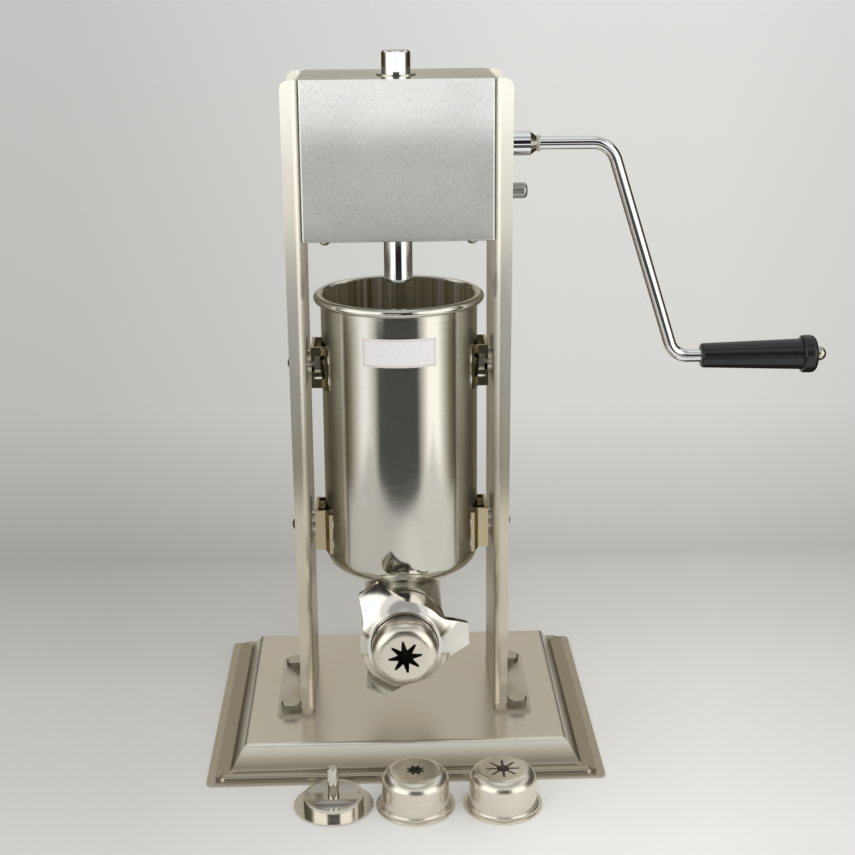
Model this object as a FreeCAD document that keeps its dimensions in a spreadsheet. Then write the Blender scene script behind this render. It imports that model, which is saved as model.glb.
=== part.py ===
"""Hand-cranked churro maker: an upright barrel with a rack-driven piston and a star nozzle.

Frame: millimetres, +Z up, +X towards the crank, the nozzle faces -Y. The origin lies on the table,
in the middle of the front rest strip of the base.
"""
import FreeCAD
import Part
import Sketcher

import math
import os
import re
from types import SimpleNamespace

from FreeCAD import Placement, Rotation, Vector

SIZES = [
    # base tray
    ("axis_y", "100", "barrel and rod axis, behind the origin"),
    ("base_front", "5", "front edge ahead of the origin"),
    ("base_sheet", "1.5", "sheet of the base tray"),
    ("base_corner", "4", "corner radius of the base rim"),
    ("step_inset", "6", "flat rim outside the raised step"),
    ("step_rise", "2.5", "height of the step above the rim"),
    ("deck_width", "224", "flat deck across X"),
    ("deck_depth", "178", "flat deck along Y"),
    ("deck_height", "18.5", "deck above the table"),
    ("skirt_run", "9.5", "foot of the skirt beyond the deck's edge"),
    ("side_rim", "16", "base beyond the foot of the skirt, left and right"),
    ("front_rim", "14", "base beyond the foot of the skirt, front and rear"),
    ("skirt_round", "4", "bend between deck and skirt"),
    ("foot_round", "3", "hollow at the foot of the skirt"),
    ("rest_strip", "10", "width of the strip that rests on the table"),
    ("bead_setback", "7.5", "bead centre line behind the front edge"),
    ("bead_dia", "8.2", "stiffening bead across"),
    ("bead_rise", "1.5", "bead above the step"),
    ("bead_length", "258", "length of the front and rear beads"),
    # uprights
    ("spacer_length", "2.9", "spacer washers between brackets and webs"),
    ("web_sheet", "2", "sheet of the uprights"),
    ("web_front", "39.4", "front of the webs ahead of the axis"),
    ("web_back", "50", "back of the webs behind the axis"),
    ("housing_height", "105.8", "top of the uprights above the housing's underside"),
    ("flange_top", "12", "channel flange width at the top"),
    ("flange_low", "9.5", "channel flange width at the bottom"),
    ("bend_round", "5", "outer bend radius of the channels"),
    ("flange_lift", "3.5", "gap between flange ends and foot"),
    ("flange_gap", "0.5", "that gap from the web's outer face"),
    ("top_round", "6", "rounded top corners of the flanges"),
    ("foot_length", "27.2", "foot plate beyond the web's inner face"),
    ("foot_overhang", "2.6", "foot plate ahead of the web"),
    ("foot_corner", "1.5", "outer corners of the foot plate"),
    ("foot_bolt_out", "17.2", "foot bolts outside the web's inner face"),
    ("foot_bolt_front", "32", "front foot bolts ahead of the axis"),
    ("foot_bolt_back", "38", "rear foot bolts behind the axis"),
    # fasteners
    ("bolt_dia", "8", "M8 bolts"),
    ("bolt_gap", "0.5", "play of a bolt in its hole, on radius"),
    ("hex_flats", "13", "M8 hexagon across flats"),
    ("hex_height", "5.3", "M8 head height"),
    ("nut_height", "6.5", "M8 nut height"),
    ("washer_dia", "17", "plain washer"),
    ("washer_thick", "1.6", "plain washer"),
    ("washer_play", "0.2", "play of a bolt in a washer, on radius"),
    ("hex_crown", "0.9", "height of a hexagon's turned crown"),
    ("crown_inset", "0.3", "crown inside the flats"),
    # gear housing
    ("rim_gap", "44.1", "underside of the housing above the barrel's rim"),
    ("housing_sheet", "2", "sheet of the housing"),
    ("housing_gap", "0.3", "housing to each web"),
    ("cover_bend", "1.2", "folded edges of the cover"),
    ("cover_return", "12", "depth of the cover's folded sides"),
    ("cover_lip", "10", "depth of the cover's bottom lip"),
    ("cover_screw_in", "15.2", "cover screws inside the web's inner face"),
    ("cover_screw_dia", "4", "cover screw thread"),
    ("screw_head_dia", "7.5", "cover screw head"),
    ("screw_head", "2.6", "cover screw head height"),
    ("screw_length", "6", "cover screw under its head"),
    # rod and its bushes
    ("rod_dia", "20", "rack rod"),
    ("piston_height", "22", "piston disc, underside to shoulder"),
    ("rod_rise", "16.2", "top of the rod above the uprights at rest"),
    ("rod_chamfer", "1", "edge at the top of the rod"),
    ("rod_play", "0.05", "running clearance of the rod"),
    ("bush_dia", "24", "rod bush outside"),
    ("bush_flange_dia", "27", "rod bush flange"),
    ("bush_flange", "0.8", "rod bush flange thickness"),
    ("bush_reach", "6", "rod bush inside the housing"),
    # rack and gears
    ("rack_depth", "2", "pitch line of the rack under the rod's surface"),
    ("gear_module", "1.5", "tooth module"),
    ("tooth_add", "1", "stub addendum"),
    ("tooth_ded", "1.9", "dedendum"),
    ("tooth_slack", "0.2", "backlash of each mesh"),
    ("pinion_teeth", "12", "rack pinion"),
    ("main_teeth", "33", "large gear on the main shaft"),
    ("slow_teeth", "11", "small gear on the second shaft"),
    ("pinion_width", "16", "rack pinion face"),
    ("gear_offset", "20", "gear faces start right of the axis"),
    ("main_gear_width", "8", "large gear face"),
    ("slow_gear_width", "10", "small gear face"),
    ("hub_dia", "19", "gear hubs"),
    ("slow_hub_dia", "13.5", "hub of the small gear"),
    ("hub_length", "8", "gear hubs"),
    ("pin_dia", "3", "cross pins"),
    ("rack_margin", "10", "rack beyond the stroke at each end"),
    # shafts
    ("shaft_dia", "12", "both shafts"),
    ("shaft_play", "0.05", "running clearance of the shafts"),
    ("shaft_drop", "49.6", "main shaft below the top of the uprights"),
    ("stub_dia", "11", "drive ends of the shafts"),
    ("stub_round", "3", "rounded tips of the drive ends"),
    ("drive_pin_dia", "2.5", "drive pins"),
    ("drive_pin_length", "16", "drive pins"),
    ("drive_pin_out", "6.1", "drive pins outside the web"),
    ("drive_pin_gap", "0.2", "drive pin to the crank's notch"),
    ("stub_out", "24.6", "drive ends outside the web"),
    ("journal_out", "7.8", "journals end outside the web"),
    ("shaft_left_out", "4.2", "left ends of the shafts outside the web"),
    ("shaft_bush_dia", "16", "shaft bush outside"),
    ("shaft_bush_flange_dia", "21", "shaft bush flange"),
    ("shaft_bush_flange", "1.5", "shaft bush flange thickness"),
    ("shaft_bush_inside", "4", "shaft bush inside the web"),
    ("ring_thick", "1", "retaining rings"),
    ("ring_dia", "16.5", "retaining rings outside"),
    ("ring_mouth", "4", "open side of the retaining rings"),
    ("groove_depth", "0.25", "grooves for the retaining rings"),
    ("ring_gap", "0.3", "retaining ring to bush"),
    # crank
    ("crank_hub_dia", "17", "crank socket"),
    ("crank_gap", "4.5", "crank socket outside the web"),
    ("socket_length", "21.6", "straight part of the socket"),
    ("crank_taper", "5.3", "length of the taper"),
    ("socket_play", "0.1", "socket to drive end, on radius"),
    ("socket_depth_gap", "0.4", "socket floor to the shaft's end"),
    ("crank_dia", "9.1", "crank rod"),
    ("crank_high", "78.3", "upper corner of the crank from the socket's inner end"),
    ("crank_low", "127", "lower corner of the crank from the socket's inner end"),
    ("crank_drop", "154.9", "grip below the shaft"),
    ("crank_bend_high", "18", "upper bend radius"),
    ("crank_bend_low", "14", "lower bend radius"),
    ("grip_from", "146.8", "grip from the socket's inner end"),
    ("grip_end_round", "4", "rounded end of the grip"),
    ("grip_edge_round", "2", "other grip edges"),
    ("grip_length", "83.8", "grip"),
    ("grip_dia_small", "17.6", "grip at its inner end"),
    ("grip_dia_large", "22.3", "grip before its end bead"),
    ("grip_bead_dia", "27.3", "end bead of the grip"),
    ("grip_bead", "10.7", "length of the end bead"),
    ("spindle_dia", "8", "spindle in the grip"),
    ("grip_play", "0.05", "running clearance of the grip"),
    ("grip_end_play", "0.3", "end play of the grip"),
    ("cap_dia", "10", "cap nut on the spindle"),
    ("cap_length", "7.6", "cap nut on the spindle"),
    ("cap_thread", "6", "thread of the cap nut"),
    ("cap_bore", "2.6", "depth of its thread"),
    # barrel
    ("barrel_dia", "110", "barrel outside"),
    ("barrel_wall", "1.5", "barrel sheet"),
    ("barrel_height", "195", "rim above the barrel's corner"),
    ("rim_radius", "3.1", "tube radius of the rim bead"),
    ("rim_step", "0.15", "rim bead outside the barrel's inner face"),
    ("corner_rise", "30.6", "corner of wall and cone above the spout's axis"),
    ("corner_round", "14", "rounding of that corner"),
    ("cone_slope", "33.6", "bottom cone below level, degrees"),
    ("spout_height", "78.5", "spout axis above the deck"),
    ("spout_dia", "55.5", "spout tube outside"),
    ("spout_back", "28", "closed rear end behind the axis"),
    ("collar_back", "62", "rear of the threaded collar ahead of the axis"),
    ("collar_lip", "4", "collar flange"),
    ("collar_dia", "58.4", "collar flange"),
    ("thread_dia", "54", "male thread"),
    ("spout_front", "84.5", "front of the collar ahead of the axis"),
    ("spout_bore", "49", "bore of the collar"),
    # piston
    ("piston_rest", "2.4", "underside of the piston at rest, above the barrel's corner"),
    ("piston_clear", "7.4", "underside of the lifted piston above the rim"),
    ("piston_edge", "2", "chamfers of the piston disc"),
    ("piston_gap", "1", "piston disc to barrel, on radius"),
    ("seal_play", "0.05", "seal to barrel, on radius"),
    ("seal_height", "9", "piston seal"),
    ("seal_depth", "6", "groove of the seal"),
    ("seal_edge", "1.2", "chamfers of the seal"),
    ("spigot_dia", "12", "threaded end of the rod"),
    ("recess_dia", "26", "recess for the piston nut"),
    ("recess_depth", "10", "recess for the piston nut"),
    ("piston_nut_flats", "19", "M12 nut across flats"),
    ("piston_nut", "8", "M12 nut height"),
    # brackets
    ("upper_hole_drop", "50.6", "upper barrel bolts below the rim"),
    ("lower_hole_rise", "23.4", "lower barrel bolts above the barrel's corner"),
    ("bracket_height", "29.3", "bracket along the barrel"),
    ("bracket_width", "31", "bracket across its walls"),
    ("bracket_sheet", "2", "bracket sheet"),
    ("bracket_reach", "6.9", "outer face of the brackets outside the barrel"),
    ("bracket_wing", "24", "weld wings from the axis"),
    ("window_height", "17", "front window of the upper brackets"),
    ("slot_height", "9", "slot of the upper brackets"),
    ("spacer_dia", "20", "spacer washers"),
    ("clamp_head", "4.4", "thin head of the barrel bolts"),
    ("cap_nut_length", "12.4", "cap nuts outside the webs"),
    ("cap_nut_thread", "7.4", "depth of their threads"),
    ("cap_dome_dia", "12.2", "domes of the cap nuts"),
    # nozzles and their nut
    ("nozzle_flange_dia", "53", "nozzle flange"),
    ("nozzle_flange", "1.5", "nozzle flange thickness"),
    ("nozzle_dia", "45.2", "nozzle body"),
    ("nozzle_height", "26.3", "nozzle with its flange"),
    ("nozzle_wall", "1.2", "nozzle sheet"),
    ("nozzle_round", "8", "shoulder of the nozzle"),
    ("nozzle_foot", "2", "hollow between the cup and its flange"),
    ("star_points", "8", "points of the stars"),
    ("star_end", "1.5", "blunt ends of the star's points"),
    ("star_lean", "22.5", "turn of the small star, degrees"),
    ("star_tip", "11.4", "large star to its points"),
    ("star_root", "5.3", "large star to its notches"),
    ("star_turn", "8", "first point above +X, degrees"),
    ("small_star_tip", "6.3", "small star to its points"),
    ("small_star_root", "3.9", "small star to its notches"),
    ("slit_hole_dia", "8.8", "centre hole of the slit star"),
    ("slit_tip", "11", "slits to their ends"),
    ("slit_width", "1.6", "slits"),
    ("seal_thick", "1", "nozzle seal"),
    ("nut_front", "95", "front of the wing nut ahead of the axis"),
    ("nut_back", "66.5", "rear of the wing nut ahead of the axis"),
    ("nut_mouth_dia", "46.4", "opening of the wing nut"),
    ("nut_bore_dia", "54.6", "bore over the thread"),
    ("nut_hub_dia", "57.4", "sleeve of the wing nut"),
    ("nut_ring_dia", "51.6", "flat front ring of the wing nut"),
    ("nut_ring_edge", "0.8", "chamfer of that ring"),
    ("nut_plate", "9.2", "winged plate at the sleeve, behind the front"),
    ("wing_dish", "1.8", "hollow of the wings"),
    ("wing_round", "2", "corners of the wing tips"),
    ("nut_waist", "1.6", "stand of the plate outside the sleeve, between the wings"),
    ("nut_play", "0.1", "nut lip to nozzle flange"),
    ("wing_tip", "44.2", "wing tips from the axis"),
    ("wing_tip_width", "15.6", "wing tips"),
    ("wing_flare", "18", "half width that a wing gains down to the axis"),
    ("wing_hollow", "20", "hollow corners between the wings and the sleeve"),
    ("wing_turn", "3.4", "first wing above +X, degrees"),
    ("wing_tip_back", "82.5", "front of the wing tips ahead of the axis"),
    ("wing_thick", "3.5", "wings at their tips"),
    # loose pieces on the table
    ("insert_x", "49.4", "filling tube insert, to the left"),
    ("insert_y", "132", "insert ahead of the axis"),
    ("small_x", "5.5", "small star nozzle"),
    ("small_y", "134.4", "small star nozzle ahead of the axis"),
    ("slit_x", "63.7", "slit star nozzle"),
    ("slit_y", "135.2", "slit star nozzle ahead of the axis"),
    ("insert_ring_dia", "40.2", "ring of the insert"),
    ("insert_ring", "8.1", "height of the ring"),
    ("insert_wall", "2.2", "wall of the ring"),
    ("bridge_thick", "3", "thickness of the bridge"),
    ("bridge_drop", "4", "underside of the bridge below the ring's top"),
    ("insert_pin_edge", "0.8", "chamfer of the pin"),
    ("insert_bridge", "9", "width of the bridge"),
    ("insert_pin_dia", "7.5", "pin of the insert"),
    ("insert_pin_top", "28.5", "top of the pin"),
]

# Places that follow from the sizes above.
FOLLOWING = [
    ("base_width", "deck_width + 2 * (skirt_run + side_rim)", "base across X"),
    ("base_depth", "deck_depth + 2 * (skirt_run + front_rim)", "base along Y"),
    ("web_gap", "barrel_dia + 2 * (bracket_reach + spacer_length)", "between the webs' inner faces"),
    ("web_in", "web_gap / 2", "inner face of a web from the middle"),
    ("web_out", "web_in + web_sheet", "outer face of a web from the middle"),
    ("web_front_y", "axis_y - web_front", "front of the webs"),
    ("web_back_y", "axis_y + web_back", "back of the webs"),
    ("deck_front", "(base_depth - deck_depth) / 2 - base_front", "front of the flat deck"),
    ("step_top", "base_sheet + step_rise", "top of the raised step"),
    ("foot_top", "deck_height + web_sheet", "top of the foot plates"),
    ("foot_bolt_x", "web_in + foot_bolt_out", "foot bolts from the middle"),
    ("spout_z", "deck_height + spout_height", "spout axis"),
    ("barrel_corner", "spout_z + corner_rise", "corner between barrel wall and cone"),
    ("barrel_rim", "barrel_corner + barrel_height", "top of the rim bead"),
    ("lower_hole_z", "barrel_corner + lower_hole_rise", "lower barrel bolts"),
    ("upper_hole_z", "barrel_rim - upper_hole_drop", "upper barrel bolts"),
    ("bracket_face", "barrel_dia / 2 + bracket_reach", "outer face of the brackets"),
    ("piston_dia", "barrel_dia - 2 * (barrel_wall + piston_gap)", "piston disc"),
    ("piston_low", "barrel_corner + piston_rest", "underside of the piston at rest"),
    ("rod_low", "piston_low + piston_height", "shoulder of the rod on the piston"),
    ("travel", "barrel_rim + piston_clear - piston_low", "stroke of the rod"),
    ("housing_low", "barrel_rim + rim_gap", "underside of the gear housing"),
    ("cover_low", "housing_low - housing_sheet", "underside of the front cover"),
    ("cover_screw_x", "web_in - cover_screw_in", "cover screws from the middle"),
    ("upright_top", "housing_low + housing_height", "top of the uprights"),
    ("rod_top", "upright_top + rod_rise", "top of the rod at rest"),
    ("shaft_z", "upright_top - shaft_drop", "main shaft"),
    ("slow_z", "shaft_z - gear_module * (main_teeth + slow_teeth) / 2", "second shaft"),
    ("pitch_radius", "gear_module * pinion_teeth / 2", "pitch radius of the rack pinion"),
    ("shaft_y", "axis_y + rod_dia / 2 - rack_depth + pitch_radius", "both shafts"),
    ("shaft_left", "web_out + shaft_left_out", "left ends of the shafts from the middle"),
    ("stub_start", "web_out + journal_out", "shoulder where the drive ends begin"),
    ("stub_end", "web_out + stub_out", "drive ends from the middle"),
    ("drive_pin_x", "web_out + drive_pin_out", "drive pins from the middle"),
    ("crank_start", "web_out + crank_gap", "inner end of the crank's socket"),
    ("grip_start", "crank_start + grip_from", "inner end of the grip"),
]

doc = FreeCAD.newDocument("ChurroMaker")
sheet = doc.addObject("Spreadsheet::Sheet", "Sizes")
for row, (alias, content, meaning) in enumerate(SIZES + FOLLOWING, start=1):
    following = (alias, content, meaning) in FOLLOWING
    sheet.set(f"A{row}", alias)
    sheet.set(f"B{row}", f"={content}" if following else content)
    sheet.set(f"C{row}", meaning)
    sheet.setAlias(f"B{row}", alias)
doc.recompute()
size = SimpleNamespace(**{alias: float(sheet.get(alias)) for alias, content, meaning in SIZES + FOLLOWING})

NODES = []
ALIAS = re.compile(r"\b[a-z][a-z0-9_]*\b(?!\()")
ALONG = {
    "Z": Rotation(),
    "X": Rotation(Vector(0, 1, 0), 90),
    "-X": Rotation(Vector(0, 1, 0), -90),
    "-Y": Rotation(Vector(1, 0, 0), 90),
}
# How far cutters reach: right through the machine, and just past the metal that they cut.
THROUGH = "rod_top"
PAST = 20
SLOPE = "cone_slope * 1deg"
PRESSURE_ANGLE = math.radians(20)


# ---------------------------------------------------------------- helpers

def tie(item, prop, text):
    """Bind a property to an expression whose words are aliases of the sheet."""
    item.setExpression(prop, ALIAS.sub(r"Sizes.\g<0>", text))


def place(item, spot, along="Z"):
    item.Placement = Placement(Vector(), ALONG[along])
    for axis, text in zip("xyz", spot):
        tie(item, f"Placement.Base.{axis}", text)


def box(name, low, high):
    """A block from its low corner to its high corner."""
    item = doc.addObject("Part::Box", name)
    for prop, start, end in zip(("Length", "Width", "Height"), low, high):
        tie(item, prop, f"({end}) - ({start})")
    place(item, low)
    return item


def cylinder(name, radius, spot, length, along="Z"):
    item = doc.addObject("Part::Cylinder", name)
    tie(item, "Radius", radius)
    tie(item, "Height", length)
    place(item, spot, along)
    return item


def ball(name, radius, spot):
    item = doc.addObject("Part::Sphere", name)
    tie(item, "Radius", radius)
    place(item, spot)
    return item


def union(name, *items):
    item = doc.addObject("Part::MultiFuse", name)
    item.Shapes = list(items)
    item.Refine = True
    return item


def minus(name, base, *tools):
    item = doc.addObject("Part::Cut", name)
    item.Base = base
    item.Tool = tools[0] if len(tools) == 1 else union(name + "Tools", *tools)
    item.Refine = True
    return item


def overlap(name, first, second):
    item = doc.addObject("Part::MultiCommon", name)
    item.Shapes = [first, second]
    return item


def outline(body, plane, loops, lift="0"):
    """A sketch of closed loops on an origin plane; each corner is tied to its two sizes."""
    sketch = body.newObject("Sketcher::SketchObject", "Outline")
    origin = [face for face in body.Origin.OriginFeatures if face.Role == plane][0]
    sketch.AttachmentSupport = (origin, [""])
    sketch.MapMode = "FlatFace"
    tie(sketch, "AttachmentOffset.Base.z", lift)
    for loop in loops:
        first = sketch.GeometryCount
        if loop[0] == "circle":
            sketch.addGeometry(Part.Circle(Vector(1, 1, 0), Vector(0, 0, 1), 3), False)
            index = sketch.addConstraint(Sketcher.Constraint("Radius", first, 3))
            tie(sketch, f"Constraints[{index}]", loop[3])
            for kind, text in (("DistanceX", loop[1]), ("DistanceY", loop[2])):
                index = sketch.addConstraint(Sketcher.Constraint(kind, -1, 1, first, 3, 1))
                tie(sketch, f"Constraints[{index}]", text)
            continue
        count = len(loop)
        turns = [2 * math.pi * number / count for number in range(count)]
        spots = [Vector(10 * math.cos(turn), 10 * math.sin(turn), 0) for turn in turns]
        for number in range(count):
            sketch.addGeometry(Part.LineSegment(spots[number], spots[(number + 1) % count]), False)
        for number in range(count):
            after = first + (number + 1) % count
            sketch.addConstraint(Sketcher.Constraint("Coincident", first + number, 2, after, 1))
        for number, (across, up) in enumerate(loop):
            start = spots[number]
            for kind, text, value in (("DistanceX", across, start.x), ("DistanceY", up, start.y)):
                index = sketch.addConstraint(Sketcher.Constraint(kind, -1, 1, first + number, 1, value))
                tie(sketch, f"Constraints[{index}]", text)
    return sketch


def new_body(name):
    return doc.addObject("PartDesign::Body", name)


def pad(body, sketch, length, back=False):
    feature = body.newObject("PartDesign::Pad", "Pad")
    feature.Profile = sketch
    tie(feature, "Length", length)
    feature.Reversed = back
    return feature


def pocket(body, sketch, length, back=False):
    feature = body.newObject("PartDesign::Pocket", "Pocket")
    feature.Profile = sketch
    tie(feature, "Length", length)
    feature.Reversed = back
    return feature


def lathe(name, plane, axis, loop):
    """A turned solid: a loop in a sketch plane, swept round one of the sketch's axes."""
    body = new_body(name)
    sketch = outline(body, plane, [loop])
    turned = body.newObject("PartDesign::Revolution", "Turned")
    turned.Profile = sketch
    turned.ReferenceAxis = (sketch, [axis])
    turned.Angle = 360
    doc.recompute()
    return body


def round_edges(body, radius, chosen):
    """Fillet the body's edges that the test picks, with a radius from the sheet."""
    doc.recompute()
    tip = body.Tip
    names = [f"Edge{number}" for number, edge in enumerate(tip.Shape.Edges, start=1) if chosen(edge)]
    feature = body.newObject("PartDesign::Fillet", "Round")
    feature.Base = (tip, names)
    tie(feature, "Radius", radius)
    doc.recompute()
    return feature


def level_circle(radius, height):
    """A test for the circle of an edge about Z, at a height and radius."""
    def test(edge):
        curve = edge.Curve
        return (isinstance(curve, Part.Circle) and abs(curve.Radius - radius) < 0.01
                and abs(edge.Vertexes[0].Point.z - height) < 0.01)
    return test


def node(item, label):
    """Hand an object in as a finished piece."""
    item.Label = label
    NODES.append(item)
    return item


def solid_node(label, shape, spots=None):
    """A piece set from a shape, or a group of copies of it at several placements."""
    item = doc.addObject("Part::Feature", "Piece")
    copies = []
    for spot in spots or [Placement()]:
        copy = shape.copy()
        copy.Placement = spot.multiply(copy.Placement)
        copies.append(copy)
    item.Shape = copies[0] if len(copies) == 1 else Part.makeCompound(copies)
    return node(item, label)


def at(across, back, up, along="Z"):
    return Placement(Vector(across, back, up), ALONG[along])


def shape_of(item):
    doc.recompute()
    return item.Shape


def ring(outside, inside, length):
    """A washer or tube on the XY plane."""
    return Part.makeCylinder(outside, length).cut(Part.makeCylinder(inside, length))


def hexagon(flats, length):
    """A hexagon whose far corners are turned off."""
    corner = flats / math.sqrt(3)
    points = [Vector(corner * math.cos(turn * math.pi / 3), corner * math.sin(turn * math.pi / 3), 0)
              for turn in range(7)]
    prism = Part.Face(Part.makePolygon(points)).extrude(Vector(0, 0, length))
    crown = size.hex_crown
    blank = Part.makeCylinder(corner, length - crown)
    top = Part.makeCone(corner, flats / 2 - size.crown_inset, crown, Vector(0, 0, length - crown))
    blank = blank.fuse(top)
    return prism.common(blank).removeSplitter()


# ---------------------------------------------------------------- base

def rectangle(left, front, right, back):
    return [(left, front), (right, front), (right, back), (left, back)]


def level_edges(height, half_x):
    """A test for the level edges of a block that is centred on X."""
    def test(edge):
        spots = [vertex.Point for vertex in edge.Vertexes]
        return all(abs(spot.z - height) < 0.01 and abs(spot.x) < half_x + 0.01 for spot in spots)
    return test


def tapered_block(body, beyond, low, high):
    """A block that narrows upwards at the skirt's slope; its top edge lies beyond the deck's edge."""
    run = f"{beyond} + skirt_run * (({high}) - ({low})) / (deck_height - step_top)"
    half = f"deck_width / 2 + {run}"
    foot = rectangle(f"-({half})", f"deck_front - ({run})", half, f"deck_front + deck_depth + {run}")
    block = pad(body, outline(body, "XY_Plane", [foot], low), f"({high}) - ({low})")
    tie(block, "TaperAngle", "-atan(skirt_run / (deck_height - step_top))")
    return block


def make_base():
    """One pressed tray: rim, raised step, skirt and deck, with a bead along the front and the rear."""
    back = "base_depth - base_front"
    tray = new_body("Tray")
    rim = rectangle("-base_width / 2", "-base_front", "base_width / 2", back)
    pad(tray, outline(tray, "XY_Plane", [rim]), "base_sheet")
    round_edges(tray, "base_corner", lambda edge: abs(edge.tangentAt(edge.FirstParameter).z) > 0.9)
    step = rectangle("step_inset - base_width / 2", "step_inset - base_front", "base_width / 2 - step_inset",
                     f"{back} - step_inset")
    pad(tray, outline(tray, "XY_Plane", [step]), "step_top")
    tapered_block(tray, "0", "step_top", "deck_height")
    half_x = size.deck_width / 2
    round_edges(tray, "skirt_round", level_edges(size.deck_height, half_x))
    round_edges(tray, "foot_round", level_edges(size.step_top, half_x + size.skirt_run))

    hollow = new_body("Hollow")
    slant = "base_sheet * tan(atan((deck_height - step_top) / skirt_run) / 2)"
    tapered_block(hollow, f"-({slant})", "0", "deck_height - base_sheet")
    roof = size.deck_height - size.base_sheet
    round_edges(hollow, "skirt_round - base_sheet", level_edges(roof, half_x))
    strip = box("StepHollow", ("rest_strip - base_width / 2", "rest_strip - base_front", "0"),
                ("base_width / 2 - rest_strip", f"{back} - rest_strip", "step_rise"))

    beads = []
    bead_z = "step_top + bead_rise - bead_dia / 2"
    reach = "bead_length / 2 - bead_dia / 2"
    for line in ("bead_setback - base_front", f"{back} - bead_setback"):
        beads.append(cylinder("Bead", "bead_dia / 2", (f"-({reach})", line, bead_z), f"2 * ({reach})", "X"))
        beads += [ball("BeadEnd", "bead_dia / 2", (f"{side}({reach})", line, bead_z)) for side in ("-", "")]
    table = box("Table", ("-base_width", "-base_depth", "-bead_dia"), ("base_width", "2 * base_depth", "0"))
    holes = [cylinder("BaseHole", "bolt_dia / 2 + bolt_gap", (x, y, "0"), "2 * deck_height")
             for x, y in FOOT_BOLTS_TEXT]
    node(minus("Base", union("Pressing", tray, *beads), hollow, strip, table, *holes), "base_plate")


FOOT_BOLTS_TEXT = [(f"{side}foot_bolt_x", y) for side in ("-", "")
                   for y in ("axis_y - foot_bolt_front", "axis_y + foot_bolt_back")]
FOOT_BOLTS = [(side * size.foot_bolt_x, y) for side in (-1, 1)
              for y in (size.axis_y - size.foot_bolt_front, size.axis_y + size.foot_bolt_back)]


def make_foot_fasteners():
    seat = size.foot_top
    under = size.deck_height - size.base_sheet
    stack = size.web_sheet + size.base_sheet + size.washer_thick + size.nut_height
    radius = size.bolt_dia / 2
    bolt = hexagon(size.hex_flats, size.hex_height).fuse(
        Part.makeCylinder(radius, stack, Vector(0, 0, -stack)))
    solid_node("foot_bolts", bolt.removeSplitter(), [at(x, y, seat) for x, y in FOOT_BOLTS])
    washer = ring(size.washer_dia / 2, radius + size.washer_play, size.washer_thick)
    solid_node("foot_washers", washer, [at(x, y, under - size.washer_thick) for x, y in FOOT_BOLTS])
    nut = hexagon(size.hex_flats, size.nut_height).cut(Part.makeCylinder(radius, size.nut_height))
    low = under - size.washer_thick - size.nut_height
    solid_node("foot_nuts", nut, [at(x, y, low) for x, y in FOOT_BOLTS])


# ---------------------------------------------------------------- uprights

def make_uprights():
    body = new_body("Upright")
    front, back = "web_front_y", "web_back_y"
    tip = "web_in + flange_top"
    channel = [("web_in", front), (tip, front), (tip, f"{front} + web_sheet"),
               ("web_out", f"{front} + web_sheet"), ("web_out", f"{back} - web_sheet"),
               (tip, f"{back} - web_sheet"), (tip, back), ("web_in", back)]
    pad(body, outline(body, "XY_Plane", [channel], "foot_top"), "upright_top - foot_top")

    def bend(across, inset):
        ends = (size.web_front_y + inset, size.web_back_y - inset)

        def test(edge):
            spots = [vertex.Point for vertex in edge.Vertexes]
            return (all(abs(spot.x - across) < 0.01 for spot in spots)
                    and abs(spots[0].z - spots[-1].z) > 1
                    and any(abs(spots[0].y - end) < 0.01 for end in ends))
        return test

    round_edges(body, "bend_round", bend(size.web_in, 0))
    round_edges(body, "bend_round - web_sheet", bend(size.web_out, size.web_sheet))
    outer = size.web_in + size.flange_top
    round_edges(body, "top_round", lambda edge: all(
        abs(vertex.Point.x - outer) < 0.01 and abs(vertex.Point.z - size.upright_top) < 0.01
        for vertex in edge.Vertexes))
    low_tip, far = "web_in + flange_low", "web_in + 2 * flange_top"
    taper = [(low_tip, "foot_top"), (far, "foot_top"), (far, "upright_top - top_round"),
             (tip, "upright_top - top_round")]
    pocket(body, outline(body, "XZ_Plane", [taper]), THROUGH)
    near = "web_out + flange_gap"
    lift = [(near, "foot_top"), (far, "foot_top"), (far, "foot_top + flange_lift"),
            (near, "foot_top + flange_lift")]
    pocket(body, outline(body, "XZ_Plane", [lift]), THROUGH)
    foot_end = "web_in + foot_length"
    foot_front = f"{front} - foot_overhang"
    foot = [("web_in", foot_front), (foot_end, foot_front), (foot_end, back), ("web_in", back)]
    bolts = [("circle", "foot_bolt_x", y, "bolt_dia / 2 + bolt_gap")
             for y in ("axis_y - foot_bolt_front", "axis_y + foot_bolt_back")]
    pad(body, outline(body, "XY_Plane", [foot] + bolts, "deck_height"), "web_sheet")
    foot_x = size.web_in + size.foot_length
    round_edges(body, "foot_corner", lambda edge: all(
        abs(vertex.Point.x - foot_x) < 0.01 for vertex in edge.Vertexes)
        and abs(edge.tangentAt(edge.FirstParameter).z) > 0.9)
    bores = [("circle", "axis_y", z, "bolt_dia / 2 + bolt_gap") for z in ("upper_hole_z", "lower_hole_z")]
    bores += [("circle", "shaft_y", z, "shaft_bush_dia / 2") for z in ("shaft_z", "slow_z")]
    pocket(body, outline(body, "YZ_Plane", bores), THROUGH, back=True)
    node(body, "right_upright")
    mirror = doc.addObject("Part::Mirroring", "LeftUpright")
    mirror.Source = body
    mirror.Normal = Vector(1, 0, 0)
    node(mirror, "left_upright")


# ---------------------------------------------------------------- gear housing

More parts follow.
